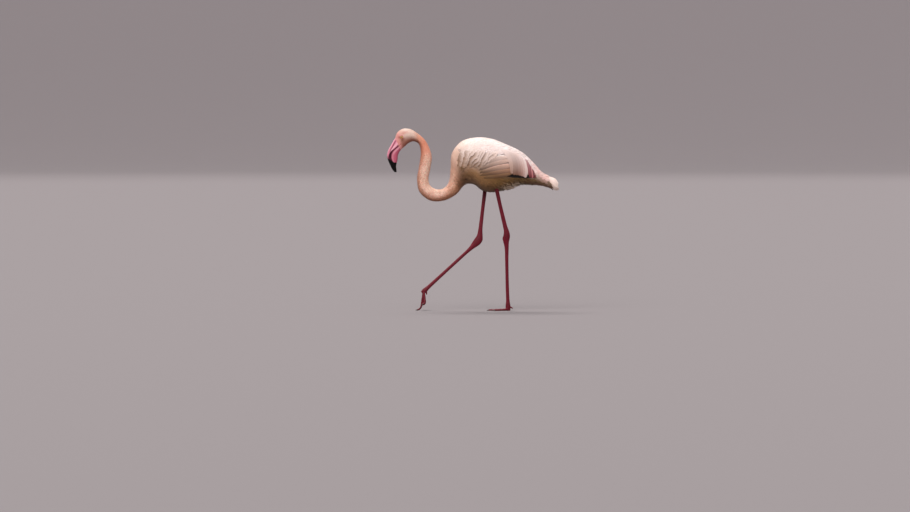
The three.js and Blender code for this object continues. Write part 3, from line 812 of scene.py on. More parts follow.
def bill_half(upper):
    """The points of one half: its curved outside between the lips, then its inner face back across."""
    arc = np.linspace(-1, 1, BILL_ARC)
    edge = np.abs(arc) ** 14
    if upper:
        angle = lip_angle[:, None] * arc
    else:
        angle = math.pi + (math.pi - lip_angle[:, None]) * arc
    place = np.broadcast_to(bill_places[:, None], angle.shape)
    grow = -(LIP_GAP + 0.35 * MM) * edge
    if upper:
        ridged = smoothly(place, 0.0, 0.006) * (1 - smoothly(place, 0.062, 0.09))
        grow = grow + RIDGE * hump(angle, 0, 0.3) * ridged
        groove = 0.9 * MM * hump(np.abs(angle), GROOVE_TURN, 0.16) * smoothly(place, 0.0, 0.008)
        grow = grow - groove * (1 - smoothly(place, 0.045, 0.062))
        below_slit = (np.abs(angle) - GROOVE_TURN - 0.04) / 0.07
        nostril = np.exp(-(((place - NOSTRIL_PLACE) / 0.0075) ** 4) - below_slit**2)
        grow = grow - 2.2 * MM * nostril
        grow = grow + 0.35 * MM * hump(np.abs(arc), 0.9, 0.05)  # the lip's roll
    else:
        grow = grow - 0.5 * MM * hump(angle, math.pi, 0.22) * (1 - smoothly(place, 0.07, 0.1))
        furrow = 0.35 * MM * hump(np.abs(angle - math.pi), 0.75, 0.1) * smoothly(place, 0.01, 0.03)
        grow = grow - furrow * (1 - smoothly(place, 0.08, 0.1))
    outside = BILL.point(place, angle, grow)
    upper_x, upper_z, lower_x, lower_z = BILL.sections_at(bill_places)[:, :4].T
    along = np.stack([upper_x - lower_x, 0 * bill_places, upper_z - lower_z], -1)
    along /= np.linalg.norm(along, axis=1)[:, None]
    outside += (edge[None, :, None] * along[:, None, :]) * (LIP_GAP if upper else -LIP_GAP)
    share = np.linspace(0, 1, BILL_FLOOR + 2)[1:-1]
    inside = outside[:, -1:] * (1 - share)[:, None] + outside[:, :1] * share[:, None]
    if upper:  # the halves close on each other behind the lips
        inside = inside - (2 * LIP_GAP) * along[:, None] * np.sin(math.pi * share)[:, None]
    points = np.concatenate([outside, inside], axis=1)
    points[-1] += (outside[-1].mean(axis=0) - points[-1]) * TIP_PULL
    return points, arc


def bill_colours(points, upper, arc):
    """Pink at the root, paler on the ridge, with a painted highlight in a pale stripe down each half's side,
    dark along the lips and black beyond the bend.
    """
    x, z = points[..., 0] / MM, points[..., 2] / MM
    line = np.array(BLACK_FROM)
    wave = 1.2 * np.sin(points[..., 1] / MM * 0.9) + 0.8 * np.sin(x * 0.7 + 1.3)
    above = z - np.interp(x, *line.T) + wave * 0.6
    shade = np.broadcast_to(BILL_PINK if upper else LOWER_BILL_PINK, (*x.shape, 3))
    from_middle = np.ones(x.shape)
    from_middle[:, :BILL_ARC] = np.abs(arc)[None, :]
    deep = smoothly(-z, -668, -636)  # the dark of the lips widens towards the bend
    lips = mixed(BILL_DARK, BILL_BLACK, 0.6 * deep)
    if upper:
        shade = mixed(shade, BILL_PALE_AND_HIGHLIGHT_PINK, 1 - smoothly(from_middle, 0.12, 0.3))
        # a painted highlight: a pale stripe down the side of the upper half
        shade = mixed(shade, BILL_PALE_AND_HIGHLIGHT_PINK, 0.8 * hump(from_middle, 0.76, 0.09) * (1 - deep))
        groove = 0.9 * hump(from_middle, GROOVE_TURN / lip_angle[:, None], 0.08)
        shade = mixed(shade, BILL_DARK, groove * smoothly(z, 640, 660) * smoothly(-z, -702, -694))
        shade = mixed(shade, lips, smoothly(from_middle, 0.86 - 0.36 * deep, 0.95 - 0.2 * deep))
        by_black = 0.75 * (1 - smoothly(above, 2, 14))
        shade = mixed(shade, BILL_DARK, by_black * smoothly(from_middle, 0.05, 0.35))
    else:
        shade = mixed(shade, BILL_KEEL_PINK, 1 - smoothly(from_middle, 0.1, 0.45))
        # a painted highlight: a pale stripe along the upper side of the lower half
        shade = mixed(shade, BILL_PALE_AND_HIGHLIGHT_PINK, 0.75 * hump(from_middle, 0.8, 0.1) * (1 - 0.6 * deep))
        shade = mixed(shade, lips, smoothly(from_middle, 0.93 - 0.1 * deep, 0.98))
    return mixed(shade, BILL_BLACK, 1 - smoothly(above, -1.6, 1.6))


# Waxy horn: a close satin gloss, a little uneven, over a faint grain that lightens and darkens its colours.
HORN_GRAIN = 0.00625
bill_horn, bill_shader = new_material("bill_horn", Roughness=0.45, IOR=1.54, Specular_IOR_Level=0.18)
_, bill_grain, bill_stain = stained(bill_horn, HORN_GRAIN, 5.0, "#ecd3d8")
bill_gloss = add_node(bill_horn, "MapRange", {"Value": bill_grain, "To Min": 0.28, "To Max": 0.46})
bill_bump = add_node(bill_horn, "Bump", {"Strength": 0.25, "Distance": 0.0003, "Height": bill_grain})
set_inputs(bill_shader, {"Base Color": bill_stain, "Roughness": bill_gloss, "Normal": bill_bump})

for bill_name, is_upper in (("bill_upper", True), ("bill_lower", False)):
    points, arc = bill_half(is_upper)
    bill_mesh = make_mesh(f"{bill_name}_horn", points.reshape(-1, 3), closed_rings(points))
    colours = np.clip(bill_colours(points, is_upper, arc), 0, 1)
    add_attribute(bill_mesh, "Plumage", colours.reshape(-1, 3))
    bill_piece = add_object(f"{bill_name}_horn", bill_mesh, bill_horn)
    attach(bill_piece, "root")
    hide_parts(bill_name)


# ---------- eyes ----------
# Small wet eyeballs that face sideways, each seated in its socket with the lids' rim round it. Under a clear
# cornea a pale yellow iris with fine rays, dark at its rim, lies round a black pupil.

PUPIL = 0.0018
IRIS = 0.0043
IRIS_YELLOW = linear("#ecd98a")
IRIS_AMBER = linear("#d99a45")
EYE_DARK = linear("#2a1710")
PUPIL_BLACK = linear("#060505")
EYE_COLUMNS = 48

# Wet cornea: a hard clear gloss over the coloured iris, with flecks fine enough to read as rays.
IRIS_FLECK = 0.00111
eye_surface, eye_shader = new_material(
    "wet_eye", Roughness=0.12, IOR=1.376, Coat_Weight=1.0, Coat_Roughness=0.03
)
set_inputs(eye_shader, {"Base Color": stained(eye_surface, IRIS_FLECK, 3.0, "#cdbfa0")[2]})

# rings from the pupil's middle out over the iris, then round the back of the ball
eye_radii = np.concatenate(
    [np.linspace(0.0002, PUPIL, 5), np.linspace(PUPIL * 1.04, IRIS, 9), [IRIS * 1.03, 0.0052, 0.0058]]
)
polar = np.concatenate([np.arcsin(eye_radii / EYE_RADIUS), np.linspace(math.pi / 2, math.pi - 0.05, 10)])
eye_round = np.linspace(0, 2 * math.pi, EYE_COLUMNS, endpoint=False)
eye_shades = np.where(
    (polar <= math.asin(PUPIL / EYE_RADIUS))[:, None],
    PUPIL_BLACK,
    mixed(IRIS_AMBER, IRIS_YELLOW, smoothly(np.sin(polar) * EYE_RADIUS, PUPIL, 0.003)),
)
eye_shades = np.where((polar > math.asin(IRIS / EYE_RADIUS))[:, None], EYE_DARK, eye_shades)
for side_name, side in (("left", -1), ("right", 1)):
    ball = np.stack(
        [
            EYE_X + EYE_RADIUS * np.sin(polar)[:, None] * np.cos(eye_round),
            side * (EYE_Y + EYE_RADIUS * np.cos(polar)[:, None] + 0 * eye_round),
            EYE_Z + side * EYE_RADIUS * np.sin(polar)[:, None] * np.sin(eye_round),
        ],
        -1,
    )
    eye_mesh = make_mesh(f"eyeball_{side_name}", ball.reshape(-1, 3), closed_rings(ball))
    add_attribute(eye_mesh, "Plumage", np.repeat(eye_shades, EYE_COLUMNS, axis=0))
    eyeball = add_object(f"eyeball_{side_name}", eye_mesh, eye_surface)
    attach(eyeball, "root")
    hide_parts(f"eye_{side_name}")


# ---------- claws ----------
# Short blunt claws of dark horn, one on each front toe, with a dull gloss. Each keeps its solid's shape with
# softened edges, and is swelled a little so that it sits in its toe.

# Dark horn: hard and a little glossy, mottled with the brown of worn horn.
CLAW_MOTTLE = 0.00238
claw_horn, claw_shader = new_material("claw_horn", Roughness=0.4, IOR=1.54)
claw_place = add_node(claw_horn, "TexCoord", output="Object")
claw_grain = add_node(claw_horn, "TexNoise", {"Scale": 1 / CLAW_MOTTLE, "Detail": 4.0, "Vector": claw_place})
claw_tones = {"data_type": "RGBA", 0: claw_grain, 6: linear("#1c1513"), 7: linear("#4a3a33")}
claw_bump = add_node(claw_horn, "Bump", {"Strength": 0.3, "Distance": 0.0002, "Height": claw_grain})
set_inputs(claw_shader, {"Base Color": add_node(claw_horn, "Mix", claw_tones, 2), "Normal": claw_bump})

CLAW_SWELL = 1.14  # makes good what smoothing takes off, and seats the claw in the toe
for side_name in SIDES:
    for toe in ("inner", "middle", "outer"):
        claw_node = f"claw_{side_name}_{toe}"
        rounded = modified(
            bpy.data.objects[claw_node].data,
            ("REMESH", {"mode": "VOXEL", "voxel_size": 0.0003, "adaptivity": 0.0}),
            ("SMOOTH", {"factor": 0.5, "iterations": 4}),
            ("DECIMATE", {"ratio": 0.3}),
        )
        points, faces = points_and_faces(rounded)
        tip = points[np.linalg.norm(points - points.mean(axis=0), axis=1).argmax()]
        points = tip + (points - tip) * CLAW_SWELL
        points[:, 2] = np.maximum(points[:, 2], 0)
        nail = add_object(f"{claw_node}_nail", make_mesh(f"{claw_node}_nail", points, [faces]), claw_horn)
        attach(nail, "root")
        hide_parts(claw_node)


# ---------- head and neck plumage ----------
# Short soft tufts that lie back over the head and run down the neck, smallest round the eyes and the bill.
# Each is a thin closed vane that starts in the skin and lifts to its tip over the roots of the next ones.

BAKE_PATCH = 0.0028
VANE_ROWS = (0, 0.38, 0.72, 0.92, 1)
rng = np.random.default_rng(11)


def dot(a, b):
    return (a * b).sum(-1)


def unit(vectors):
    return vectors / np.linalg.norm(vectors, axis=-1)[..., None]


def skin_directions(t, angle):
    """How a point of the skin moves with t and with the angle, and the skin's outward normal."""
    ahead = (on_body(t + 0.5 * MM, angle) - on_body(t - 0.5 * MM, angle)) / MM
    round_it = (on_body(t, angle + 0.01) - on_body(t, angle - 0.01)) / 0.02
    return ahead, round_it, unit(np.cross(ahead, round_it))


def skin_steps(ahead, round_it, direction):
    """The steps in t and in angle that move a point of the skin by a direction in its plane."""
    aa, ar, rr = dot(ahead, ahead), dot(ahead, round_it), dot(round_it, round_it)
    da, dr = dot(ahead, direction), dot(round_it, direction)
    return (da * rr - dr * ar) / (aa * rr - ar * ar), (dr * aa - da * ar) / (aa * rr - ar * ar)


def lay_vanes(
    t, angle, heading, length, width, colour, low, high, tip=None, rim=None, bend=None, camber=0.14, lean=0.0,
    rows=VANE_ROWS, columns=4, tip_from=0.0, rim_side=0, root_width=0.5, widest=0.6, blunt=0.88, rounding=0.3,
    curl=1.0, fray=0.0,
):
    """Thin closed vanes on the body, from roots at t and angle. Each heads along a direction in space, bent
    towards another at its tip. low and high are its lift at root and tip in millimetres. camber is how far
    its middle stands over its rims, and lean how far its right rim does over its left, in half widths.
    widest is how far along it is broadest, and rounding how far its rims lag behind its middle."""
    count = len(t)
    spread = lambda value: np.broadcast_to(np.asarray(value, float), (count,))
    length, width, low, high = spread(length), spread(width), spread(low) * MM, spread(high) * MM
    camber, lean = spread(camber), spread(lean)
    heading = unit(np.broadcast_to(heading, (count, 3)))
    bend = heading if bend is None else unit(np.broadcast_to(bend, (count, 3)))
    tip = colour if tip is None else np.broadcast_to(tip, colour.shape)
    rim = None if rim is None else np.broadcast_to(rim, colour.shape)
    across = np.linspace(-1, 1, columns + 1)
    at_t, at_angle = np.array(t, float), np.array(angle, float)
    points, colours, vane_uv, bake_uv = [], [], [], []
    base_u = np.clip(at_t / BODY.length, 0, 1) * 0.992 + 0.004
    base_v = (at_angle / (2 * math.pi) % 1) * 0.992 + 0.004
    for k, u in enumerate(rows):
        ahead, round_it, normal = skin_directions(at_t, at_angle)
        towards = heading * (1 - u) + bend * u
        towards = unit(towards - normal * dot(towards, normal)[:, None])
        forward = skin_steps(ahead, round_it, towards)
        sideways = skin_steps(ahead, round_it, np.cross(normal, towards))
        if u < widest:
            half = root_width + (1 - root_width) * math.sin(math.pi / 2 * u / widest)
        else:
            half = math.sqrt(1 - blunt * ((u - widest) / (1 - widest)) ** 2)
        half = half * width / 2
        over = across[None] * half[:, None]
        if fray:
            over = over * (1 + rng.normal(0, fray, over.shape))
        breadth = (0.35 + 0.65 * half / width * 2)[:, None]
        back = -rounding * width[:, None] * across[None] ** 2 * u**2 * breadth
        if fray:
            back = back + rng.normal(0, fray * 0.5, over.shape) * width[:, None] * u**2
        vane_t = at_t[:, None] + over * sideways[0][:, None] + back * forward[0][:, None]
        vane_angle = at_angle[:, None] + over * sideways[1][:, None] + back * forward[1][:, None]
        lift = (low + (high - low) * u**curl)[:, None] + (camber * half)[:, None] * (1 - across[None] ** 2)
        points.append(on_body(vane_t, vane_angle, lift + lean[:, None] * over))
        shade = mixed(colour, tip, max(0, u - tip_from) / (1 - tip_from))[:, None].repeat(columns + 1, axis=1)
        if rim is not None:
            edge = np.clip(across * rim_side, 0, 1) if rim_side else np.abs(across)
            edge = edge[None] ** 3 * smoothly(u, 0.1, 0.4)
            shade = mixed(shade, rim[:, None], np.broadcast_to(edge, shade.shape[:2]))
        colours.append(shade)
        vane_uv.append(np.stack([over, np.broadcast_to((u * length)[:, None], over.shape)], -1))
        patch = np.broadcast_to(across[None], over.shape) * BAKE_PATCH / 2
        bake_v = base_v[:, None] + (u - 0.5) * BAKE_PATCH + 0 * patch
        bake_uv.append(np.stack([base_u[:, None] + patch, bake_v], -1))
        if k + 1 < len(rows):
            step = (rows[k + 1] - u) * length
            at_t, at_angle = at_t + step * forward[0], at_angle + step * forward[1]
    layers = (points, colours, vane_uv, bake_uv)
    stacked = (np.stack(layer, 1).reshape(count, len(rows) * (columns + 1), -1) for layer in layers)
    return (len(rows), columns, *stacked)


def vane_faces(rows, columns):
    """The faces of one vane: its cambered top, its flat underside, its root and its tip."""
    wide = columns + 1
    left = np.arange(rows - 1) * wide
    top = grid_faces(rows, wide)
    under = np.stack([left, left + columns, left + wide + columns, left + wide], -1)
    root = np.arange(wide)[None]
    return [np.vstack([top, under]), np.vstack([root, (root + (rows - 1) * wide)[:, ::-1]])]


def add_plumage(name, batches):
    """One mesh of many vanes, with their colours, their own UV map and the one for baking."""
    layers, faces, rims = ([], [], [], []), [], []
    offset = 0
    for rows, columns, *batch in batches:
        count, per_vane = batch[0].shape[:2]
        starts = offset + np.arange(count) * per_vane
        for face_set in vane_faces(rows, columns):
            faces.append((starts[:, None, None] + face_set[None]).reshape(-1, face_set.shape[1]))
        row, column = np.divmod(np.arange(per_vane), columns + 1)
        rims.append(np.tile(np.stack([column == 0, column == columns, row == rows - 1], -1), (count, 1)))
        for layer, values in zip(layers, batch):
            layer.append(values.reshape(-1, values.shape[-1]))
        offset += count * per_vane
    points, colours, vane_uv, bake_uv = (np.vstack(layer) for layer in layers)
    mesh = make_mesh(name, points, faces)
    add_attribute(mesh, "Plumage", np.clip(colours, 0, 1))
    corner = read(mesh.loops, "vertex_index", 1, np.int32)[:, 0]
    for map_name, values in (("OFBake", bake_uv), ("VaneUV", vane_uv)):
        mesh.uv_layers.new(name=map_name).data.foreach_set("uv", values[corner].astype(np.float32).ravel())
    rim = np.vstack(rims)[read(mesh.edges, "vertices", 2, np.int32)].all(axis=1).any(axis=1)
    mesh.attributes.new("sharp_edge", "BOOLEAN", "EDGE").data.foreach_set("value", rim)
    piece = add_object(name, mesh, feather)
    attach(piece, "root")


# Feather keratin: matt and soft, with a faint silk sheen. Barbs slant out from the shaft. They are 0.4 mm
# apart in life and drawn 1.2 mm apart, as finer ones would not show.
BARB = 0.0012
SHAFT = 0.0005  # half the width of the vane's shaft
RUFFLE = 0.00714  # the width of the locks in which barbs part
SOIL = 0.0333
feather, feather_shader = new_material(
    "feather_keratin",
    Roughness=0.72,
    IOR=1.54,
    Sheen_Weight=0.15,
    Sheen_Roughness=0.5,
    Specular_IOR_Level=0.3,
)
feather_place = add_node(feather, "TexCoord", output="Object")
vane_tint = add_node(feather, "Attribute", {"attribute_name": "Plumage"})
vane_place = add_node(feather, "UVMap", {"uv_map": "VaneUV"})
vane_across, vane_along = (add_node(feather, "SeparateXYZ", {"Vector": vane_place}, axis) for axis in "XY")
from_shaft = add_node(feather, "Math", {"operation": "ABSOLUTE", 0: vane_across})
barb_line = add_node(feather, "Math", {"operation": "MULTIPLY_ADD", 0: from_shaft, 1: -1.4, 2: vane_along})
ruffle = add_node(feather, "TexNoise", {"Scale": 1 / RUFFLE, "Detail": 3.0, "Vector": feather_place})
ruffled = add_node(feather, "Math", {"operation": "MULTIPLY_ADD", 0: ruffle, 1: 0.9 * BARB, 2: barb_line})
barbs = add_node(feather, "Math", {"operation": "MULTIPLY", 0: ruffled, 1: 2 * math.pi / BARB})
barbs = add_node(feather, "Math", {"operation": "SINE", 0: barbs})
barbs = add_node(feather, "Math", {"operation": "MULTIPLY_ADD", 0: barbs, 1: 0.5, 2: 0.5})
shaft = add_node(feather, "Math", {"operation": "DIVIDE", "use_clamp": True, 0: from_shaft, 1: SHAFT})
shaft = add_node(feather, "Math", {"operation": "SUBTRACT", 0: 1.0, 1: shaft})
barb_tone = add_node(feather, "Mix", {**MULTIPLY, 0: barbs, 6: vane_tint, 7: linear("#f1e7e3")}, 2)
_, soil, soiled = stained(feather, SOIL, 4.0, "#efe2d8", tint=barb_tone)
barb_height = add_node(feather, "Math", {"operation": "MULTIPLY_ADD", 0: shaft, 1: 1.5, 2: barbs})
vane_bump = add_node(feather, "Bump", {"Strength": 0.25, "Distance": 0.0002, "Height": barb_height})
vane_gloss = add_node(feather, "MapRange", {"Value": soil, "To Min": 0.62, "To Max": 0.85})
set_inputs(feather_shader, {"Base Color": soiled, "Roughness": vane_gloss, "Normal": vane_bump})

MOST_STRETCH = 1.5


def coat_roots(first, last, along, across):
    """Roots on staggered rings, thinned where the skin is shorter along the body than its middle line is."""
    found = []
    for i, t in enumerate(np.arange(first, last, along / MOST_STRETCH)):
        turn = np.linspace(-math.pi, math.pi, 73)
        arc = np.concatenate([[0], np.cumsum(np.linalg.norm(np.diff(on_body(t, turn), axis=0), axis=1))])
        count = max(4, round(arc[-1] / across))
        placed = (np.arange(count) + 0.5 * (i % 2) + rng.uniform(-0.3, 0.3, count)) / count * arc[-1]
        angle = np.interp(placed % arc[-1], arc, turn)
        here = t + rng.uniform(-0.35, 0.35, count) * along
        stretch = np.linalg.norm(skin_directions(here, angle)[0], axis=1)
        kept = rng.random(count) < stretch / MOST_STRETCH
        found.append(np.stack([here[kept], angle[kept]]))
    return np.concatenate(found, axis=1)


def lie_of_coat(t, angle, droop=0.0, stray=0.1):
    """Along the body from the bill to the tail, with a droop to the ground and a little disorder."""
    ahead, _, normal = skin_directions(t, angle)
    lie = unit(ahead) + [0, 0, -1] * np.broadcast_to(np.asarray(droop, float), (len(t),))[:, None]
    return unit(lie + np.cross(normal, lie) * rng.normal(0, stray, (len(t), 1)))


def feather_shades(t, angle, uneven=0.05, blush=0.03):
    """The markings at each root, a little lighter, darker or pinker from feather to feather."""
    shades = plumage_colour(t, angle) * (1 + rng.normal(0, uneven, (len(t), 1)))
    return np.clip(shades * (1 + rng.normal(0, blush, (len(t), 1)) * [0.4, -1, -1]), 0, 1)


HEAD_END = BODY.place("nape")
NECK_END = BODY.place("breast") - 0.012
TUFT_ROWS = (0, 0.45, 0.82, 1)
HEAD_TUFT_ROWS = (0, 0.55, 1)
# from root to root along and across, then the least and the most length and width
HEAD_SPACING = (0.0015, 0.0012)
HEAD_TUFT_LENGTH, HEAD_TUFT_WIDTH = 0.0042, 0.0013  # by the bill
NECK_SPACING = (0.0029, 0.0021)
NECK_TUFT_LENGTH, NECK_TUFT_WIDTH = (0.0105, 0.014), (0.0023, 0.0031)

t, angle = coat_roots(0.0015, HEAD_END, *HEAD_SPACING)
bare = lore_share(on_body(t, angle))
feathered = bare < 0.5 + rng.normal(0, 0.16, len(t))
t, angle, bare = t[feathered], angle[feathered], bare[feathered]
off_bill = smoothly(t, 0.01, 0.05)
to_nape = smoothly(t, BODY.place("crown"), HEAD_END)
by_lore = smoothly(bare, 0, 0.3)
lie = lie_of_coat(t, angle, stray=0.12)
shades = feather_shades(t, angle, 0.04) * 0.97
shades = mixed(shades, LORE_COLOUR * face_shade(on_body(t, angle)), 0.9 * by_lore)
lift = (0.3 + 0.4 * off_bill + 1.3 * to_nape + rng.uniform(0, 0.2, len(t))) * (1 - 0.85 * by_lore)
head_tufts = lay_vanes(
    t, angle, lie, HEAD_TUFT_LENGTH + 0.003 * off_bill - 0.0015 * bare, HEAD_TUFT_WIDTH + 0.0005 * off_bill,
    shades, low=-0.3, high=lift, rows=HEAD_TUFT_ROWS, columns=2, root_width=0.6, blunt=0.97, camber=0.2,
)
add_plumage("head_tufts", [head_tufts])

SMOOTH_END = BODY.place("upper neck", 0.45)
for name, first, last, uneven in (
    ("hook_tufts", HEAD_END, SMOOTH_END, 0.03),
    ("upper_neck_tufts", SMOOTH_END, BODY.place("lower neck"), 0.13),
    ("lower_neck_tufts", BODY.place("lower neck"), NECK_END, 0.12),
):
    t, angle = coat_roots(first, last, *NECK_SPACING)
    clumps = np.sin(t * 520 + 2 * np.sin(angle * 3 + t * 90)) * np.sin(angle * 5 + 2.5 * np.sin(t * 260))
    shades = feather_shades(t, angle, uneven, uneven * 0.5) * (1 + uneven * clumps[:, None] * [1.2, 1.9, 2.3])
    depth = BODY.by_place(COAT_DEPTH, t)
    settled = 0.3 + 0.7 * smoothly(t, HEAD_END, HEAD_END + 0.025)
    neck_tufts = lay_vanes(
        t, angle, lie_of_coat(t, angle, stray=0.1), rng.uniform(*NECK_TUFT_LENGTH, len(t)),
        rng.uniform(*NECK_TUFT_WIDTH, len(t)), shades * 0.95, tip=np.clip(shades * 1.05, 0, 1),
        low=0.45 * depth * settled, high=depth * rng.uniform(0.72 + uneven, 0.8 + 1.6 * uneven, len(t)),
        rows=TUFT_ROWS, columns=2, root_width=0.6, blunt=0.97, camber=0.15, fray=0.06,
    )
    add_plumage(name, [neck_tufts])


# ---------- body plumage ----------
# Rounded contour feathers of breast, back, flank and belly, laid like tiles from the neck to the tail. Looser
# fluff hangs from the belly, round the tops of the legs.

# the upper and lower edge of the loosened wing, X and Z in millimetres
WING_TOP = [(-90, 650), (100, 650), (140, 668), (200, 640), (262, 590)]
WING_FOOT = [(-90, 560), (60, 535), (100, 530), (262, 530)]


def in_wing(t, angle):
    """1 where longer wing feathers lie over the contour feathers."""
    x, _, z = on_body(t, angle).T / MM
    top, foot = (np.interp(x, *np.array(line, float).T) for line in (WING_TOP, WING_FOOT))
    between = smoothly(z, foot - 4, foot + 8) * (1 - smoothly(z, top - 8, top + 4))
    return between * smoothly(x, -80, -60) * (x < WING_TOP[-1][0])


BODY_END = BODY.place("tail root") - 0.01
BODY_MIDDLE = BODY.place("back", 0.3)
FEATHER_ROWS = (0, 0.4, 0.7, 0.9, 1)
CONTOUR_LENGTH, CONTOUR_WIDTH, CONTOUR_ACROSS = (0.026, 0.031), (0.012, 0.0145), 0.006
for name, first, last, spacing in (
    ("front_contour_feathers", NECK_END - 0.006, BODY_MIDDLE, 0.0056),
    ("rear_contour_feathers", BODY_MIDDLE, BODY_END, 0.0072),
):
    t, angle = coat_roots(first, last, spacing, CONTOUR_ACROSS)
    size = smoothly(t, BODY.place("breast"), BODY.place("shoulder")) * 0.4 + 0.6
    shades = feather_shades(t, angle, 0.025, 0.015)
    depth = BODY.by_place(COAT_DEPTH, t) * (1 - 0.45 * in_wing(t, angle))
    throat = smoothly(-np.cos(angle), -0.3, 0.4)
    throat = throat * (1 - smoothly(t, BODY.place("wishbone"), BODY.place("shoulder", 0.5)))
    root_share = 0.62 - 0.27 * throat
    contour = lay_vanes(
        t, angle, lie_of_coat(t, angle, droop=0.25 * np.abs(np.sin(angle)), stray=0.07),
        size * rng.uniform(*CONTOUR_LENGTH, len(t)), size * rng.uniform(*CONTOUR_WIDTH, len(t)),
        shades * 0.97, tip=np.clip(shades * 1.02, 0, 1), low=root_share * depth,
        high=depth * rng.uniform(0.82, 0.92, len(t)), camber=0.06, rows=FEATHER_ROWS, blunt=0.92, fray=0.04,
    )
    add_plumage(name, [contour])

FLUFF_SPACING, FLUFF_LENGTH, FLUFF_WIDTH = (0.0085, 0.0055), (0.02, 0.03), (0.004, 0.006)
BELLY_FROM = -0.55  # the cosine of the turn from the back at which the belly starts
FRINGE_PLACE = (0.138, 0.034)  # its middle X and its reach
FRINGE_COLOUR = linear("#e9dfcc")
t, angle = coat_roots(BODY.place("wishbone"), BODY.place("vent") - 0.01, *FLUFF_SPACING)
low_down = np.cos(angle) < BELLY_FROM
t, angle = t[low_down], angle[low_down]
shades = feather_shades(t, angle, 0.07, 0.03)
# a fringe of long white down hangs behind the legs
pale = hump(on_body(t, angle)[:, 0], *FRINGE_PLACE) * smoothly(-np.cos(angle), 0.6, 0.85)
shades = mixed(shades, FRINGE_COLOUR, 0.8 * pale)
fluff = lay_vanes(
    t, angle, lie_of_coat(t, angle, droop=0.45 + 0.55 * pale, stray=0.22),
    rng.uniform(*FLUFF_LENGTH, len(t)) + 0.012 * pale, rng.uniform(*FLUFF_WIDTH, len(t)), shades * 0.9,
    tip=np.clip(shades * 1.15, 0, 1), low=2.0,
    high=rng.uniform(7.5, 11.0, len(t)) + rng.uniform(4, 12, len(t)) * pale,
    columns=2, camber=0.15, blunt=0.97, curl=1.3, fray=0.05,
)
add_plumage("belly_fluff", [fluff])


# ---------- wing coverts ----------
# Each folded wing is tiled with soft white coverts. Over its front half their loosened rows slant down and
# backwards, so each row's ends make a pale edge over the shade of the next. The pale ends are brightened with
# painted light, and the roots darkened to brown with painted shade.


def on_side(x, z, side):
    """Roots on one side of the trunk from where they are seen from the side, X and Z in millimetres."""
    t, angle = beside(BODY, np.asarray(x, float) * MM, np.asarray(z, float) * MM, *TRUNK_SPAN).T
    return t, angle * side


def heading(degrees):
    """Backwards along the bird, turned up by some degrees."""
    turned = np.radians(np.asarray(degrees, float))
    return np.stack([np.cos(turned), 0 * turned, np.sin(turned)], -1)


def tone(hexes, count, uneven=0.04):
    """One colour for each of many vanes, a little uneven."""
    return np.clip(linear(hexes) * (1 + rng.normal(0, uneven, (count, 1))), 0, 1)


TRUNK_SPAN = (BODY.place("neck root"), BODY.place("tail middle"))
FIRST_ROW = ((-50, 594), (-20, 650))  # the ends of the front row of loose coverts, X and Z in millimetres
LAST_ROW = ((54, 589), (108, 650))
LOOSE_ROWS = 9
COVERT_WIDTH = 0.017
COVERT_LENGTH = (35, 41)  # in millimetres
COVERT_ROWS = (0, 0.3, 0.55, 0.72, 0.84, 0.93, 1)
covert_batches = []
for side in (-1, 1):
    for i in range(LOOSE_ROWS):
        share = (i + 0.2 * math.sin(2.3 * i)) / (LOOSE_ROWS - 1)  # the rows stand a little unevenly
        low_end, high_end = (np.array(a) + (np.array(b) - a) * share for a, b in zip(FIRST_ROW, LAST_ROW))
        row_length = np.linalg.norm(high_end - low_end)
        count = round(row_length / 6)
        along = (np.arange(count) + 0.5) / count
        tips = low_end + (high_end - low_end) * along[:, None]
        slope = -50 + 8 * share + 10 * along + rng.uniform(-4, 4, count)
        length = rng.uniform(*COVERT_LENGTH, count)
        locks = np.sin(along * 11 + i * 2.4)
        wave = 3.2 * np.sin(along * 5.5 + i * 1.2) + (1.3 + share) * locks
        backwards = heading(slope)[:, [0, 2]]
        tips = tips + (wave + rng.uniform(-1.2, 1.2, count))[:, None] * backwards
        roots = tips - length[:, None] * backwards
        t, angle = on_side(roots[:, 0], roots[:, 1], side)
        base = plumage_colour(*on_side(tips[:, 0], tips[:, 1], side))
        # painted light on the row ends, stronger on the rear rows, and painted shade on the covered roots
        painted_light = (0.05 + 0.75 * smoothly(along, 0, 0.7)) * (0.32 + 0.63 * share) * (0.86 + 0.14 * locks)
        painted_light_tips = mixed(base, tone("#fbece6", count, 0.03), painted_light)
        painted_shade = (0.82 - 0.42 * along * (0.7 + 0.3 * share)) * (1 - 0.85 * smoothly(along, 0.68, 0.98))
        painted_shade_roots = mixed(base, tone("#8c6745", count, 0.05), painted_shade)
        over = 0.3 * (LOOSE_ROWS - i)
        raised = 0.55 + 0.45 * smoothly(along, 0, 0.45) - 0.3 * smoothly(along, 0.8, 1)
        raised = raised * (0.62 + 0.38 * smoothly(share, 0, 0.3))
        covert_batches.append(
            lay_vanes(
                t, angle, heading(slope - 4), length * MM, COVERT_WIDTH, painted_shade_roots, tip=painted_light_tips, tip_from=0.66,
                bend=heading(slope + 8), low=2.0 + over * raised,
                high=(rng.uniform(8.6, 9.6, count) + over) * raised, camber=0.12, rows=COVERT_ROWS,
                widest=0.86, blunt=0.75, rounding=0.15, curl=1.5, fray=0.03,
            )
        )
add_plumage("loose_coverts", covert_batches)
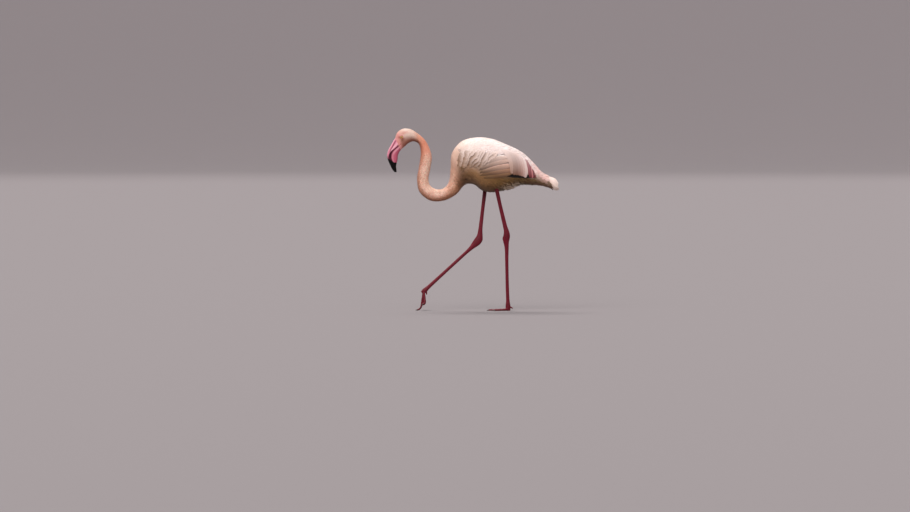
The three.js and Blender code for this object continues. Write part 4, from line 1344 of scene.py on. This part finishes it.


# ---------- greater coverts and scapulars ----------
# Long soft vanes that lie back along the folded wing in overlapping strips, each with a painted highlight
# along its upper rim, painted shade at its root, and darker the lower it lies, as painted shade. They grow
# from the wing's skin below the loose coverts, and each lies over the next one down.

# each strip: root X and Z, length and width in millimetres, its slope at root and tip in degrees, its colour,
# darker down the wing as painted shade
STRIPS = [
    (30, 590, 132, 20, 38, -6, "#fbe9e4"),
    (24, 578, 148, 20, 30, -2, "#f1dad2"),
    (26, 564, 152, 21, 25, -4, "#dfbfb1"),
    (26, 553, 154, 21, 18, -4, "#bf9982"),
    (36, 543, 138, 20, 13, 2, "#ab8767"),
]
# a painted highlight along each strip's upper rim
PAINTED_RIM_HIGHLIGHT = (1.3, 1.34, 1.42)  # how much lighter a strip's upper rim is than its middle
LONG_ROWS = np.linspace(0, 1, 13)
strip_batches = []
for side in (-1, 1):
    x, z, length, width, start, finish_slope = np.array([strip[:6] for strip in STRIPS], float).T
    t, angle = on_side(x, z, side)
    count = len(x)
    base = plumage_colour(t, angle)
    middle = np.array([linear(strip[6]) for strip in STRIPS])
    order = np.arange(count)[::-1]
    # the roots are darkened to about half as painted shade in the folds between strips
    strip_batches.append(
        lay_vanes(
            t, angle, heading(start), length * MM, width * MM, base * 0.54, tip=middle * 0.94,
            rim=np.clip(middle * PAINTED_RIM_HIGHLIGHT, 0, 1), rim_side=-side, bend=heading(finish_slope),
            low=2.0 + 0.3 * order, high=6.8 + 0.5 * order, camber=0.3, rows=LONG_ROWS, columns=6,
            blunt=0.93, rounding=0.5, lean=side * 0.12, fray=0.005, curl=0.6,
        )
    )
add_plumage("greater_coverts", strip_batches)


# ---------- tertials and red coverts ----------
# The inner wing feathers droop over the folded wing's end like a curtain. Behind them a patch of the rose-red
# coverts shows, and below them the tips of the black primaries.

# each vane: root X and Z, length and width in millimetres, slope at root and tip, colour, colour of its rims
# the curtain's pale feathers are darkened to brown by painted shade, a little less along one rim of each
CURTAIN = [
    (102, 668, 127, 24, -36, -102, "#bd9c8c", "#f3e4dd"),
    (112, 667, 131, 24, -38, -101, "#97715c", "#b3907e"),
    (123, 666, 130, 24, -40, -100, "#8f6752", "#ac8674"),
    (135, 664, 128, 24, -42, -99, "#a07866", "#bd998a"),
    (147, 660, 124, 24, -44, -98, "#b98f82", "#d1b0a4"),
    (159, 655, 118, 24, -46, -97, "#d2b0a6", "#ead2cb"),
    (172, 648, 111, 23, -50, -95, "#eed8d4", "#fcf1ef"),
]
RED = [
    (213, 626, 78, 14, -84, -84, "#8b2b3d", "#9b3d4c"),
    (216, 621, 76, 14, -80, -80, "#701424", "#7d1c2c"),
    (221, 613, 69, 14, -74, -74, "#c9787f", "#d99196"),
    (227, 602, 60, 14, -68, -66, "#661020", "#701828"),
    (232, 592, 50, 12, -60, -56, "#701b2a", "#872937"),
]
BLACK_ROOTS = [(104, 568), (112, 565), (120, 562)]
BLACK_LENGTH = 150
BLACK_WIDTH = 13
VANE_PILE = 0.35  # how far each vane of a row lies over the one behind it, in millimetres


def lay_listed(vanes, side, low, high, root_shade=0.5, **settings):
    """The vanes of a table, piled so that each lies over the one behind it. root_shade is how much of its own
    colour a vane has at its root."""
    pile = VANE_PILE * np.arange(len(vanes))[::-1]
    x, z, length, width, start, end = np.array([row[:6] for row in vanes], float).T
    t, angle = on_side(x, z, side)
    shade, rim = (np.array([linear(row[column]) for row in vanes]) for column in (6, 7))
    root = mixed(plumage_colour(t, angle), shade, root_shade)
    return lay_vanes(
        t, angle, heading(start), length * MM, width * MM, root, tip=shade, rim=rim, bend=heading(end),
        rows=LONG_ROWS, low=low + pile, high=high + pile, **settings
    )


tertials = [
    lay_listed(
        CURTAIN, side, low=2.5, high=10.0, root_shade=0.05, tip_from=0.08, columns=6, blunt=0.75,
        rounding=0.25, lean=side * 0.06, fray=0.004, curl=0.55, rim_side=-side,
    )
    for side in (-1, 1)
]
add_plumage("tertials", tertials)
reds = [
    lay_listed(RED, side, low=4.5, high=7.6, root_width=0.35, widest=0.5, blunt=0.9, fray=0.004, curl=0.6)
    for side in (-1, 1)
]
add_plumage("red_coverts", reds)
primary_batches = []
for side in (-1, 1):
    x, z = np.array(BLACK_ROOTS, float).T
    t, angle = on_side(x, z, side)
    black = tone("#1b1009", len(x), 0.1)
    primary_batches.append(
        lay_vanes(
            t, angle, heading(-26.0), BLACK_LENGTH * MM, BLACK_WIDTH * MM, black, bend=heading(8.0),
            low=2.0, high=np.linspace(6.6, 7.4, len(x)), camber=0.15, rows=LONG_ROWS, root_width=0.35,
            widest=0.3, blunt=0.95, rounding=0.5, curl=0.6,
        )
    )
add_plumage("black_primaries", primary_batches)


# ---------- tail ----------
# A short blunt tail of stiff feathers, laid over each other from the middle outwards, under pink coverts. The
# inner fans close its end. Its lower fans and the coverts beneath it are darkened with painted shade.

TAIL_FROM = BODY.place("vent", 0.75)
TAIL_WIDTH = 0.019
TAIL_PINK = linear("#dcacab")
COVER_WIDTH, COVER_SPACING = 0.016, (0.0105, 0.0095)
COVER_LENGTH, LOWER_COVER_LENGTH = 0.036, 0.05
tail_batches = []
# each fan: turns of its first and last vane from the back in degrees, vanes a side, lengths of the first and
# last vane and lift at root and tip in millimetres, droop and colour, darker on the lower fans as painted
# shade
TAIL_FANS = [
    (60, 104, 5, 97, 89, 2.0, 4.6, 0.18, "#fbf2ea"),
    (6, 50, 4, 87, 85, 2.0, 3.6, 0.0, "#fbf0ec"),
    (4, 176, 8, 82, 84, -2.0, -1.0, 0.0, "#efe0d6"),
    (6, 174, 6, 79, 81, -2.5, -4.0, 0.0, "#e6d4c8"),
    (8, 172, 5, 77, 78, -3.0, -7.0, 0.0, "#dcc7ba"),
    (12, 168, 4, 75, 76, -5.0, -11.0, 0.0, "#d2bdb0"),
    (20, 160, 3, 74, 74, -7.0, -15.0, 0.0, "#c8b2a4"),
    (40, 140, 2, 73, 73, -9.0, -19.0, 0.0, "#bfa898"),
]
for first, last, vanes, first_length, last_length, low, high, droop, shade_hex in TAIL_FANS:
    turned = np.radians(np.linspace(first, last, vanes))
    length = np.linspace(first_length, last_length, vanes) * MM
    turned, length = np.concatenate([-turned[::-1], turned]), np.concatenate([length[::-1], length])
    t = TAIL_FROM + 0.004 * np.cos(turned)
    shade = tone(shade_hex, len(turned), 0.03)
    tail_batches.append(
        lay_vanes(
            t, turned, lie_of_coat(t, turned, droop, stray=0.02), length, TAIL_WIDTH,
            mixed(shade, TAIL_PINK, 0.5), tip=shade, rim=np.clip(shade * 1.1, 0, 1), low=low,
            high=high, camber=0.2, rows=LONG_ROWS, columns=6, root_width=0.35, blunt=0.85, rounding=0.35,
        )
    )
t, angle = coat_roots(BODY.place("rump"), BODY.place("tail root") - 0.008, *COVER_SPACING)
beneath = np.cos(angle) < -0.2
shades = feather_shades(t, angle, 0.04, 0.03)
# the undertail coverts are darkened to brown as painted shade
shades = mixed(shades, tone("#6b4534", len(t)), 0.7 * smoothly(-np.cos(angle), 0.55, 0.85))
length = np.where(beneath, LOWER_COVER_LENGTH, COVER_LENGTH) + rng.uniform(0, 0.006, len(t))
tail_coverts = lay_vanes(
    t, angle, lie_of_coat(t, angle, stray=0.05), length, COVER_WIDTH, shades * 0.92,
    tip=np.clip(shades * 1.05, 0, 1), low=1.5, high=6.5 + rng.uniform(0, 1.2, len(t)),
    rows=(0, 0.3, 0.6, 0.85, 0.96, 1), root_width=0.35, blunt=0.92,
)
add_plumage("tail_feathers", tail_batches)
add_plumage("tail_coverts", [tail_coverts])
